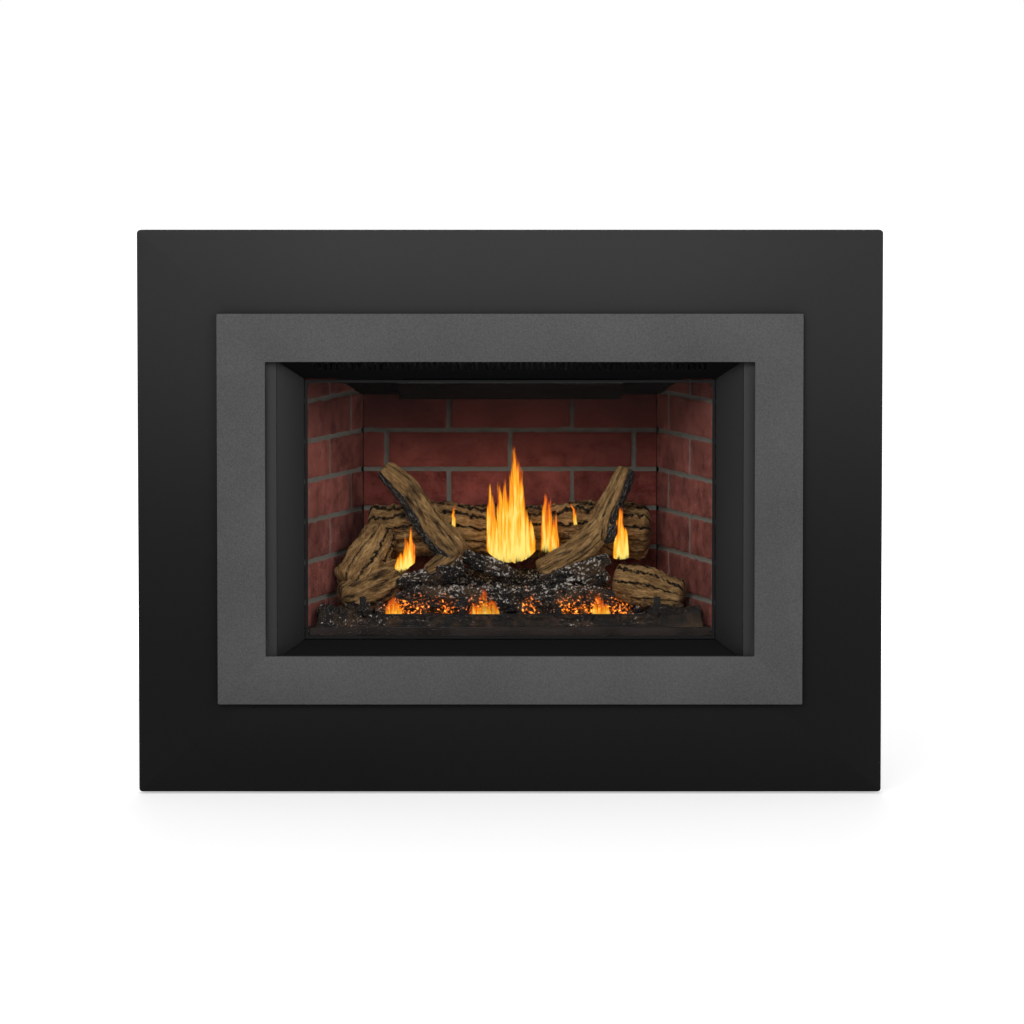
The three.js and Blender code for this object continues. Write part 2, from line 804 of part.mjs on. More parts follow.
const ductTop = casingTop - DUCT.top;
const ductFront = ventY - ductHalfDepth;
const ductRear = ventY + ductHalfDepth;
const ductRoot = ceilingZ - FIREBOX.ceilingDrop; // before it is cut to the ceiling's slope
const belowCeiling = profilePrism(
  [
    [0, ceilingZ - TALL],
    [depth, ceilingZ - TALL],
    [depth, ceilingAt(depth) + SHEET + FIT],
    [slopeY, ceilingZ + SHEET + FIT],
    [0, ceilingZ + SHEET + FIT],
  ],
  -casingHalf,
  casingHalf,
);
add(
  "exhaust_duct",
  cut(
    box(-DUCT.width / 2, DUCT.width / 2, ductFront, ductRear, ductRoot, ductTop),
    box(
      -DUCT.width / 2 + SHEET,
      DUCT.width / 2 - SHEET,
      ductFront + SHEET,
      ductRear - SHEET,
      ductRoot - 1,
      ductTop - SHEET,
    ),
    rodZ(VENT.radius + HOLE_PLAY, ductTop - SHEET - 1, ductTop + 1, exhaustX, ventY, VENT.segments),
    belowCeiling,
  ),
  plainSteel,
);

function collar(x, bottom) {
  const inner = VENT.radius - VENT.wall;
  const flangeZ = casingTop + FIT;
  const top = casingTop + VENT.above;
  return turned(
    [
      [inner, bottom],
      [VENT.radius, bottom],
      [VENT.radius, flangeZ],
      [VENT.radius + VENT.flange, flangeZ],
      [VENT.radius + VENT.flange, flangeZ + VENT.wall],
      [VENT.radius, flangeZ + VENT.wall],
      [VENT.radius, top],
      [inner, top],
      [inner, bottom],
    ],
    x,
    ventY,
    VENT.segments,
  );
}
add("exhaust_collar", collar(exhaustX, ductTop - VENT_REACH.exhaust), plainSteel);
add("intake_collar", collar(intakeX, casingTop - VENT_REACH.intake), plainSteel);

// ---- Brick liner ----------------------------------------------------------------------------------

const courseBottom = (course) => FIREBOX.floorHeight + BRICK.firstCourse + course * BRICK.course;
const courseCount = Math.ceil((FIREBOX.height - BRICK.firstCourse) / BRICK.course);

// The bricks of a wall as boxes of [start, end, bottom, top]. jointsOf gives a course's upright joints.
function bricksOf(start, end, jointsOf) {
  const bricks = [];
  for (let course = 0; course < courseCount; course += 1) {
    const bottom = courseBottom(course) + BRICK.joint / 2;
    const top = courseBottom(course + 1) - BRICK.joint / 2;
    const edges = jointsOf(course).filter(
      (joint) => joint > start + BRICK.shortest && joint < end - BRICK.shortest,
    );
    const starts = [start, ...edges.map((joint) => joint + BRICK.joint / 2)];
    const ends = [...edges.map((joint) => joint - BRICK.joint / 2), end];
    starts.forEach((from, i) => bricks.push([from, ends[i], bottom, top]));
  }
  return bricks;
}

const isOdd = (course) => course % 2 === 1;
const sideBricks = bricksOf(0, wallLength, (course) => SIDE_JOINTS[isOdd(course) ? "odd" : "even"]);
const sidePanel = wallOutline(wallLength, FIT, BRICK.panel * wallOut.y);
const sideFace = sideBricks.map(([from, to, bottom, top]) =>
  onWall(outline([[from, bottom], [to, bottom], [to, top], [from, top]]), 0, BRICK.relief + WELD),
);
addPair(
  "brick",
  join(
    onWall(sidePanel, BRICK.relief, BRICK.panel - BRICK.relief),
    common(join(...sideFace), onWall(sidePanel, 0, BRICK.panel)),
  ),
  brick,
);

const backHalf = FIREBOX.backWidth / 2 - FIT;
const backBricks = bricksOf(-backHalf, backHalf, (course) =>
  isOdd(course) ? [-BRICK.length / 2, BRICK.length / 2] : [-BRICK.length, 0, BRICK.length],
);
const backProfile = (front) => [
  [front, FIREBOX.floorHeight + FIT],
  [backWallY + BRICK.panel, FIREBOX.floorHeight + FIT],
  [backWallY + BRICK.panel, ceilingAt(backWallY + BRICK.panel) - FIT],
  [front, ceilingAt(front) - FIT],
];
const backFace = backBricks.map(([from, to, bottom, top]) =>
  box(from, to, backWallY, backWallY + BRICK.relief + WELD, bottom, top),
);
add(
  "brick_back",
  join(
    profilePrism(backProfile(backWallY + BRICK.relief), -backHalf, backHalf),
    common(join(...backFace), profilePrism(backProfile(backWallY), -backHalf, backHalf)),
  ),
  brick,
);

// ---- Glass door -----------------------------------------------------------------------------------

const doorOuter = {
  half: bezelInner.half - DOOR.play,
  bottom: bezelInner.bottom + DOOR.play,
  top: bezelInner.top - DOOR.topPlay,
};
const doorInner = grown(doorOuter, -DOOR.rail);
const hingeY = doorY + DOOR.thickness / 2;
const hingeZ = doorOuter.top - HINGE_PIN.drop;
const doorEar = (side) =>
  box(
    side < 0 ? -doorOuter.half : doorInner.half - DOOR.earLap,
    side < 0 ? -doorInner.half + DOOR.earLap : doorOuter.half,
    doorY,
    doorY + DOOR.thickness,
    doorOuter.top - DOOR.ear,
    doorOuter.top,
  );
const hingeBore = (side) => {
  const ends = [doorOuter.half + 1, doorOuter.half - HINGE_PIN.engaged - WELD].map((x) => side * x);
  return rodX(HINGE_PIN.bore, Math.min(...ends), Math.max(...ends), hingeY, hingeZ);
};
add(
  "door_frame",
  cut(
    join(
      facePlate(ringShape(doorOuter, doorInner, DOOR.corner), doorY, DOOR.thickness),
      doorEar(-1),
      doorEar(1),
    ),
    hingeBore(-1),
    hingeBore(1),
  ),
  heatPaint,
);

const glassEdge = grown(doorInner, -FIT);
const glassY = doorY + (DOOR.thickness - DOOR.glass) / 2;
const earRoom = (side) =>
  box(
    side < 0 ? -doorInner.half - 1 : doorInner.half - DOOR.earLap - FIT,
    side < 0 ? -doorInner.half + DOOR.earLap + FIT : doorInner.half + 1,
    doorY,
    doorY + DOOR.thickness,
    doorOuter.top - DOOR.ear - FIT,
    doorOuter.top,
  );
add(
  "door_glass",
  cut(
    box(
      -glassEdge.half,
      glassEdge.half,
      glassY,
      glassY + DOOR.glass,
      glassEdge.bottom,
      glassEdge.top,
    ),
    earRoom(-1),
    earRoom(1),
  ),
  ceramicGlass,
);

// Each bracket stands in front of the firebox side and carries the door's pin.
const bracketInner = doorOuter.half + HINGE_PIN.sideGap;
const bracketOuter = wallStart.x + (shellGap + SHEET) * wallOut.x;
addPair(
  "hinge_bracket",
  join(
    box(
      bracketInner,
      bracketOuter,
      doorY + BEZEL.sheet + FIT,
      fireboxY - FIT,
      hingeZ - HINGE_PIN.bracketBelow,
      ceilingZ - FIT,
    ),
    rodX(HINGE_PIN.radius, doorOuter.half - HINGE_PIN.engaged, bracketInner + 1, hingeY, hingeZ),
  ),
  plainSteel,
);

// A leaf spring under each end of the bottom rail. It presses the rail against its seat.
addPair(
  "door_clip",
  join(
    box(
      CLIP.inset - CLIP.width / 2,
      CLIP.inset + CLIP.width / 2,
      doorY + BEZEL.sheet + FIT,
      fireboxY - FIT,
      doorOuter.bottom - FIT - CLIP.sheet,
      doorOuter.bottom - FIT,
    ),
    box(
      CLIP.inset - CLIP.width / 2,
      CLIP.inset + CLIP.width / 2,
      fireboxY - FIT - CLIP.sheet,
      fireboxY - FIT,
      doorOuter.bottom - FIT - CLIP.height,
      doorOuter.bottom - FIT,
    ),
  ),
  plainSteel,
);

// ---- Burner, embers and grate ---------------------------------------------------------------------

const bedZ = FIREBOX.floorHeight + FIT;
const trayFront = fireboxY + TRAY.front;
const trayRear = backWallY - TRAY.rear;
add(
  "burner_tray",
  cut(
    box(-TRAY.width / 2, TRAY.width / 2, trayFront, trayRear, bedZ, bedZ + TRAY.height),
    box(
      -TRAY.width / 2 + TRAY.sheet,
      TRAY.width / 2 - TRAY.sheet,
      trayFront + TRAY.sheet,
      trayRear - TRAY.sheet,
      bedZ + TRAY.sheet,
      bedZ + TRAY.height + 1,
    ),
  ),
  plainSteel,
);

// Uneven ground between -1 and 1 for both beds.
const lumps = (x, y) => Math.sin(0.21 * x + 0.6 * y) * Math.cos(0.13 * x - 0.31 * y);

// The embers fill the tray and rise at the rear, where they carry the logs.
const grateY = fireboxY + GRATE.front;
const { smoothstep } = THREE.MathUtils;
const emberHalf = TRAY.width / 2 - TRAY.sheet - EMBERS.play;
const emberTop = bedZ + TRAY.height + EMBERS.above;
const emberRise = (x, y) =>
  EMBERS.rise *
  smoothstep(y, grateY + EMBER_RAMP.start, grateY + EMBER_RAMP.end) *
  (1 - smoothstep(Math.abs(x), EMBER_RAMP.level, EMBER_RAMP.edge));
add(
  "ember_bed",
  mound(
    -emberHalf,
    emberHalf,
    trayFront + TRAY.sheet + EMBERS.play,
    trayRear - TRAY.sheet - EMBERS.play,
    bedZ + TRAY.sheet + FIT,
    (x, y) => emberTop + EMBERS.lump * lumps(x, y) + emberRise(x, y),
    EMBERS.across,
    EMBERS.deep,
  ),
  embers,
);

const grateBar = bedZ + GRATE.barHeight;
const postShape = (x) => [
  box(
    x - GRATE.bar / 2,
    x + GRATE.bar / 2,
    grateY,
    grateY + GRATE.bar,
    bedZ,
    bedZ + GRATE.postTop,
  ),
  box(
    x - GRATE.bar / 2,
    x + GRATE.bar / 2,
    grateY + GRATE.step,
    grateY + GRATE.arm,
    grateBar,
    grateBar + GRATE.bar,
  ),
];
add(
  "grate",
  join(
    box(
      -GRATE.span / 2,
      GRATE.span / 2,
      grateY + GRATE.step,
      grateY + GRATE.bar - GRATE.step,
      grateBar,
      grateBar + GRATE.bar,
    ),
    ...GRATE_POSTS.flatMap((share) => postShape((share * GRATE.postSpan) / 2)),
  ),
  castIron,
);

// Charcoal lumps in front of the grate, heaped up at both ends.
const charHalf = wallStart.x + (grateY - fireboxY) * (wallAlong.x / wallAlong.y) - CHARCOAL.play;
const heapShare = (x) =>
  smoothstep(Math.abs(x), charHalf - CHARCOAL.heapWidth, charHalf - CHARCOAL.heapTop);
add(
  "charcoal_bed",
  mound(
    -charHalf,
    charHalf,
    fireboxY + SHEET + CHARCOAL.front,
    grateY - FIT - 1,
    bedZ,
    (x, y) => bedZ + CHARCOAL.height + CHARCOAL.lump * lumps(x, y) + CHARCOAL.heap * heapShare(x),
    CHARCOAL.across,
    CHARCOAL.deep,
  ),
  charred,
);

// ---- Logs -----------------------------------------------------------------------------------------

// Places in the log set: x, share of the firebox depth from the front, and height over its floor.
const inBox = ([x, share, height]) => [
  x,
  fireboxY + share * FIREBOX.depth,
  FIREBOX.floorHeight + height,
];
const logAt = (points, radii, options) => limb(points.map(inBox), radii, options);

add(
  "rear_log",
  logAt(
    [
      [-214, 0.8, 122],
      [-110, 0.81, 126],
      [0, 0.81, 121],
      [110, 0.81, 127],
      [214, 0.8, 120],
    ],
    [40, 42, 40, 42, 40],
    { rings: 12, seed: 1 },
  ),
  bark,
);
add(
  "left_front_log",
  logAt(
    [
      [-252, 0.33, 38],
      [-208, 0.42, 54],
      [-168, 0.52, 70],
    ],
    [22, 32, 27],
    { rings: 7, seed: 2 },
  ),
  bark,
);
add(
  "right_front_log",
  logAt(
    [
      [164, 0.44, 62],
      [212, 0.38, 52],
      [262, 0.3, 40],
    ],
    [25, 31, 20],
    { rings: 7, seed: 3 },
  ),
  bark,
);
add(
  "left_forked_log",
  join(
    logAt(
      [
        [-196, 0.6, 226],
        [-158, 0.56, 190],
        [-128, 0.5, 150],
        [-100, 0.43, 112],
        [-62, 0.36, 76],
      ],
      [15, 21, 24, 26, 21],
      { rings: 10, seed: 4 },
    ),
    logAt(
      [
        [-112, 0.47, 128],
        [-90, 0.42, 96],
        [-78, 0.38, 72],
      ],
      [18, 22, 17],
      { rings: 5, seed: 5 },
    ),
  ),
  bark,
);
add(
  "right_forked_log",
  join(
    logAt(
      [
        [180, 0.6, 226],
        [164, 0.56, 186],
        [146, 0.52, 150],
        [140, 0.48, 118],
      ],
      [13, 19, 23, 20],
      { rings: 8, seed: 6 },
    ),
    logAt(
      [
        [150, 0.51, 150],
        [104, 0.46, 108],
        [44, 0.38, 78],
      ],
      [20, 20, 14],
      { rings: 8, seed: 7 },
    ),
  ),
  bark,
);

// The charred log lies on the grate's arms, so its place is taken from the grate.
const charLogY = grateY + GRATE.bar + CHAR_LOG.behindBar;
const charLogZ = grateBar + GRATE.bar + CHAR_LOG.rise;
add(
  "front_char_log",
  limb(
    [
      [-172, charLogY + 2, charLogZ],
      [-92, charLogY, charLogZ + 2],
      [0, charLogY + 2, charLogZ - 2],
      [92, charLogY, charLogZ + 2],
      [156, charLogY + 2, charLogZ - 1],
    ],
    [14, 19, 17, 20, 14],
    { rings: 12, seed: 8 },
  ),
  charred,
);

// ---- Controls behind the front frame --------------------------------------------------------------

const panelY = bezelY + CONTROLS.recess;
const lineZ = controlsZ + CONTROLS.line;
const stemHole = (x, radius) =>
  rodY(radius + HOLE_PLAY, panelY - 1, panelY + SHEET + 1, x, lineZ);
const rockerHalf = { x: ROCKER.width / 2 + ROCKER.play, z: ROCKER.height / 2 + ROCKER.play };
add(
  "control_panel",
  cut(
    box(
      -bezelOuter.half,
      bezelOuter.half,
      panelY,
      panelY + SHEET,
      controlsZ,
      controlsZ + CONTROLS.height,
    ),
    stemHole(GAS_KNOB_X, KNOB.stem),
    stemHole(FAN_KNOB_X, KNOB.stem),
    stemHole(BUTTON.x, BUTTON.stem),
    box(
      ROCKER.x - rockerHalf.x,
      ROCKER.x + rockerHalf.x,
      panelY - 1,
      panelY + SHEET + 1,
      lineZ - rockerHalf.z,
      lineZ + rockerHalf.z,
    ),
  ),
  blackPaint,
);

// A knob with a pointer ridge on its face, and the stem that it turns.
function knob(x) {
  const back = panelY - KNOB.gap;
  const front = back - KNOB.depth;
  const pointer = box(
    x - POINTER.width / 2,
    x + POINTER.width / 2,
    front - POINTER.out,
    front + POINTER.root,
    lineZ,
    lineZ + KNOB.radius - POINTER.inset,
  );
  return join(
    rodY(KNOB.radius, front, back, x, lineZ, KNOB.segments),
    rodY(KNOB.stem, back - 1, back - 1 + KNOB.stemLength, x, lineZ),
    pointer,
  );
}
add("gas_knob", knob(GAS_KNOB_X), blackPlastic);
add("fan_knob", knob(FAN_KNOB_X), blackPlastic);

const buttonBack = panelY - BUTTON.standOff;
add(
  "igniter_button",
  join(
    rodY(BUTTON.radius, buttonBack - BUTTON.depth, buttonBack, BUTTON.x, lineZ),
    rodY(BUTTON.stem, buttonBack - 1, buttonBack + BUTTON.stemLength, BUTTON.x, lineZ),
  ),
  redPlastic,
);

const rockerMesh = add(
  "rocker_switch",
  new THREE.BoxGeometry(ROCKER.width, ROCKER.depth, ROCKER.height),
  blackPlastic,
);
rockerMesh.position.set(ROCKER.x, panelY, lineZ);
rockerMesh.rotation.x = THREE.MathUtils.degToRad(-ROCKER.tilt);

const valveY = panelY - KNOB.gap - 1 + KNOB.stemLength + FIT;
const valveRear = valveY + VALVE.depth;
const valveX = GAS_KNOB_X;
const valveTop = lineZ + VALVE.height / 3;
add(
  "gas_valve",
  join(
    box(
      valveX - VALVE.width / 2,
      valveX + VALVE.width / 2,
      valveY,
      valveRear,
      valveTop - VALVE.height,
      valveTop,
    ),
    rodY(
      VALVE_INLET.radius,
      valveRear - 1,
      valveRear + VALVE_INLET.length,
      valveX,
      lineZ - VALVE_INLET.drop,
    ),
  ),
  plainSteel,
);

// The supply line comes in on the right through its shut-off cock.
const shutoffFace = pipeY - SHUTOFF.body / 2;
add(
  "supply_pipe",
  join(
    rodX(
      PIPE.radius,
      valveX + VALVE.width / 2 + FIT,
      casingHalfAt(pipeY) + PIPE.standOut,
      pipeY,
      pipeZ,
      PIPE.segments,
    ),
    box(
      SHUTOFF.x - SHUTOFF.body / 2,
      SHUTOFF.x + SHUTOFF.body / 2,
      shutoffFace,
      shutoffFace + SHUTOFF.body,
      pipeZ - SHUTOFF.body / 2,
      pipeZ + SHUTOFF.body / 2,
    ),
    rodY(SHUTOFF.stem, shutoffFace - SHUTOFF.stemLength, shutoffFace + 1, SHUTOFF.x, pipeZ),
  ),
  brass,
);
const leverY = shutoffFace - SHUTOFF.stemLength + 1;
add(
  "shutoff_lever",
  cut(
    box(
      SHUTOFF.x - SHUTOFF.lever,
      SHUTOFF.x + SHUTOFF.leverWidth,
      leverY,
      leverY + SHUTOFF.leverSheet,
      pipeZ - SHUTOFF.leverWidth / 2,
      pipeZ + SHUTOFF.leverWidth / 2,
    ),
    rodY(SHUTOFF.stem + STEM_PLAY, leverY - 1, leverY + SHUTOFF.leverSheet + 1, SHUTOFF.x, pipeZ),
  ),
  redPlastic,
);

// From the valve's top up through the firebox floor to the burner tray.
const lineStart = [valveX - VALVE.width / 4, valveY + VALVE.depth / 2, valveTop + FIT];
const lineRise = (lineStart[2] + FIREBOX.floorHeight) / 2;
const linePath = new THREE.CatmullRomCurve3(
  [
    lineStart,
    [lineStart[0], lineStart[1], lineRise - BURNER_LINE.bend],
    [(lineStart[0] + burnerHole[0]) / 2, (lineStart[1] + burnerHole[1]) / 2, lineRise],
    [burnerHole[0], burnerHole[1], lineRise + BURNER_LINE.bend],
    [burnerHole[0], burnerHole[1], FIREBOX.floorHeight - FIT],
  ].map((point) => new THREE.Vector3(...point)),
);
const lineSection = new THREE.Shape();
lineSection.absarc(0, 0, BURNER_LINE.radius, 0, 2 * Math.PI);
add(
  "burner_pipe",
  new THREE.ExtrudeGeometry(lineSection, {
    steps: BURNER_LINE.steps,
    curveSegments: BURNER_LINE.segments,
    extrudePath: linePath,
  }),
  plainSteel,
);

// The pilot stands beside the tray, near the back.
const pilotX = TRAY.width / 2 + PILOT.beside + PILOT.width / 2;
const pilotY = fireboxY + PILOT.share * FIREBOX.depth;
const pilotLine = pilotY + PILOT.depth / 2;
const pilotRoot = bedZ + PILOT.root;
const probe = (side) =>
  rodZ(
    PROBES.radius,
    pilotRoot,
    bedZ + PROBES.height,
    pilotX + side * PROBES.spacing,
    pilotLine,
    PROBES.segments,
  );
add(
  "pilot_assembly",
  join(
    box(
      pilotX - PILOT.width / 2,
      pilotX + PILOT.width / 2,
      pilotY,
      pilotY + PILOT.depth,
      bedZ + PILOT.lift,
      bedZ + PILOT.height,
    ),
    rodZ(
      PILOT_HOOD.radius,
      pilotRoot,
      bedZ + PILOT_HOOD.height,
      pilotX,
      pilotLine,
      PILOT_HOOD.segments,
    ),
    probe(-1),
    probe(1),
  ),
  plainSteel,
);

// ---- Blower ---------------------------------------------------------------------------------------

const blowerY = casingBackY - BLOWER.fromBack;
const blowerZ = BLOWER.height;
const scroll = BLOWER.radius + BLOWER.gap;
const blowerHalf = BLOWER.length / 2 + BLOWER.gap;
const blowerBox = (grow, front) =>
  box(
    -blowerHalf - grow,
    blowerHalf + grow,
    blowerY - scroll - front,
    blowerY + scroll + grow,
    blowerZ - scroll - grow,
    blowerZ + scroll + grow,
  );
const motorStart = blowerHalf + BLOWER.sheet;
add(
  "blower_housing",
  cut(
    join(
      blowerBox(BLOWER.sheet, 0),
      rodX(MOTOR.radius, motorStart - 1, motorStart + MOTOR.length, blowerY, blowerZ),
    ),
    blowerBox(0, 1),
    rodX(
      BLOWER.hub + STEM_PLAY,
      -blowerHalf - BLOWER.sheet - 1,
      blowerHalf + BLOWER.sheet + HUB_END + 2,
      blowerY,
      blowerZ,
    ),
  ),
  plainSteel,
);
const blade = (i) =>
  new THREE.BoxGeometry(BLOWER.length - 2 * BLADE.endPlay, BLADE.width, BLADE.sheet)
    .rotateX(BLADE.tilt)
    .translate(0, BLOWER.radius - BLADE.inset, 0)
    .rotateX((2 * Math.PI * i) / BLOWER.blades)
    .translate(0, blowerY, blowerZ);
const disc = (x) => rodX(BLOWER.radius, x - DISC / 2, x + DISC / 2, blowerY, blowerZ);
add(
  "blower_rotor",
  join(
    rodX(
      BLOWER.hub,
      -blowerHalf - BLOWER.sheet,
      blowerHalf + BLOWER.sheet + HUB_END,
      blowerY,
      blowerZ,
    ),
    disc((DISC - BLOWER.length) / 2),
    disc(0),
    disc((BLOWER.length - DISC) / 2),
    ...Array.from({ length: BLOWER.blades }, (_, i) => blade(i)),
  ),
  plainSteel,
);

// ---- Levelling feet -------------------------------------------------------------------------------

for (const [corner, x, y] of feetPlaces) {
  add(
    `levelling_foot_${corner}`,
    turned(
      [
        [0, 0],
        [FOOT.pad, 0],
        [FOOT.pad, FOOT.padHeight],
        [FOOT.stud, FOOT.padHeight],
        [FOOT.stud, FOOT.studTop],
        [0, FOOT.studTop],
      ],
      x,
      y,
    ),
    plainSteel,
  );
}

const group = new THREE.Group();
group.add(insert);

export default group;
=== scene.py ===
"""The looks of a direct-vent gas fireplace insert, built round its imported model.

Each sub-assembly is a class that makes its detailed meshes and dresses the model's own pieces, and each
finish is a frozen dataclass that makes one material. Lengths are in metres, with +Z up and -Y to the front.
"""

from __future__ import annotations

import json
import logging
import math
from dataclasses import dataclass, field
from enum import Enum
from typing import Callable, Sequence

import bmesh
import bpy
import numpy as np
from bpy.types import ColorRamp, Material, Mesh, NodeSocket, NodeTree, Object
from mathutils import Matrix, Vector, noise

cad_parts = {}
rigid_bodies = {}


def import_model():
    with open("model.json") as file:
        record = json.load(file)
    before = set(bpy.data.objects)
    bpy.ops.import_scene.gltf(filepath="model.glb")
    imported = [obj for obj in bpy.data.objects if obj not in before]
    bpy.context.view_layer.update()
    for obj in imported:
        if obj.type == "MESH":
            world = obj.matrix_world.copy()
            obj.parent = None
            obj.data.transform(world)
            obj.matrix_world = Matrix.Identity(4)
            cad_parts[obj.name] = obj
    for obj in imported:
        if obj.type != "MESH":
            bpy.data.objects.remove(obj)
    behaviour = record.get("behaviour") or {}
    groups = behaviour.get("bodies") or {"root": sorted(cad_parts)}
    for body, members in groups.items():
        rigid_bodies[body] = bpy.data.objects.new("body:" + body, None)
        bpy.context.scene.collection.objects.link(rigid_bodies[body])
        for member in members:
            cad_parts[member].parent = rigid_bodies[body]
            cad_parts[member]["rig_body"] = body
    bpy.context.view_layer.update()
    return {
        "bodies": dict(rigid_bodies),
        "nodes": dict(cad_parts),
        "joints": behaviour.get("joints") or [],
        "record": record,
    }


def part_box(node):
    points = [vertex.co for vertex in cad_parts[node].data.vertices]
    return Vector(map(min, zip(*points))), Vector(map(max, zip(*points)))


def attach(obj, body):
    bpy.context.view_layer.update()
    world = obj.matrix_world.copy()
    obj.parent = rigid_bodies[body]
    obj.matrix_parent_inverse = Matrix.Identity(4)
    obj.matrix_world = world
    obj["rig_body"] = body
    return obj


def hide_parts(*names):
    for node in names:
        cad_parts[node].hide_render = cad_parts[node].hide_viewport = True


log = logging.getLogger("insert")

Colour = tuple[float, float, float]
Point = tuple[float, float, float]

MM = 0.001
FRONT_PLANE = -0.19465  # the y of the front frame's face


def deep(depth: float) -> float:
    """The y of a plane that lies depth behind the front frame's face."""
    return FRONT_PLANE + depth


def shade(red: int, green: int, blue: int) -> Colour:
    """A linear colour from three display values of 0 to 255."""
    shares = (value / 255 for value in (red, green, blue))
    return tuple(v / 12.92 if v <= 0.04 else ((v + 0.055) / 1.055) ** 2.4 for v in shares)


def times(colour: Colour, factor: float) -> Colour:
    """A colour made darker or lighter by a factor."""
    return tuple(value * factor for value in colour)


# ---- Node trees ------------------------------------------------------------------------------------


def math_node(operation: str, flipped: bool = False) -> Callable[..., "Socket"]:
    """A method of Socket that adds one Math node.

    Args:
        operation: The node's operation.
        flipped: Whether the other value comes first.

    Returns:
        The method.
    """

    def method(self: "Socket", *others: "Socket | float") -> "Socket":
        """The operation on this value and the other, if there is one."""
        values = (*others, self) if flipped else (self, *others)
        return self.graph.node("ShaderNodeMath", {"operation": operation}, dict(enumerate(values)))

    return method


class Socket:
    """A node's output that takes part in plain arithmetic."""

    def __init__(self, graph: "Graph", link: NodeSocket) -> None:
        """Wraps one output of a node in the graph."""
        self.graph = graph
        self.link = link

    __add__ = __radd__ = math_node("ADD")
    __sub__ = math_node("SUBTRACT")
    __rsub__ = math_node("SUBTRACT", flipped=True)
    __mul__ = __rmul__ = math_node("MULTIPLY")
    __pow__ = math_node("POWER")
    most = math_node("MAXIMUM")
    least = math_node("MINIMUM")
    size = math_node("ABSOLUTE")

    def ease(self, low: float, high: float, start: float = 0.0, end: float = 1.0) -> "Socket":
        """A smooth step from start to end as this value goes from low to high."""
        values = {"Value": self, "From Min": low, "From Max": high, "To Min": start, "To Max": end}
        return self.graph.node("ShaderNodeMapRange", {"interpolation_type": "SMOOTHSTEP"}, values)


class Graph:
    """A node tree with one method that adds a node."""

    def __init__(self, tree: NodeTree) -> None:
        """Takes the tree and empties it."""
        self.tree = tree
        tree.nodes.clear()

    def node(
        self,
        kind: str,
        settings: dict[str, object] | None = None,
        inputs: dict[int | str, object] | None = None,
        output: int | str = 0,
    ) -> Socket:
        """Adds a node.

        Args:
            kind: The node's type name.
            settings: Properties, set first. "stops" gives a ramp's places and colours.
            inputs: Values or sockets by the input's name or number.
            output: The name or number of the output that is wanted.

        Returns:
            The wanted output.
        """
        made = self.tree.nodes.new(kind)
        for key, value in (settings or {}).items():
            if key == "stops":
                self._set_stops(made.color_ramp, value)
            else:
                setattr(made, key, value)
        for key, value in (inputs or {}).items():
            self._feed(made.inputs[key], value)
        return Socket(self, made.outputs[output]) if made.outputs else Socket(self, None)

    def _feed(self, target: NodeSocket, value: object) -> None:
        """Links a socket or sets a plain value."""
        if isinstance(value, Socket):
            self.tree.links.new(value.link, target)
        elif isinstance(value, tuple) and len(value) == 3 and target.type == "RGBA":
            target.default_value = (*value, 1.0)
        else:
            target.default_value = value

    @staticmethod
    def _set_stops(ramp: ColorRamp, stops: Sequence[tuple[float, Colour]]) -> None:
        """Gives a colour ramp its stops."""
        while len(ramp.elements) < len(stops):
            ramp.elements.new(1.0)
        for element, (place, colour) in zip(ramp.elements, stops):
            element.position = place
            element.color = (*colour, 1.0)

    def straight_look(self) -> Socket:
        """1 on camera, glossy and transmission rays, and 0 on rays that only carry light."""
        kinds = ("Is Camera Ray", "Is Glossy Ray", "Is Transmission Ray")
        seen, mirrored, through = (self.node("ShaderNodeLightPath", output=kind) for kind in kinds)
        return seen.most(mirrored).most(through)


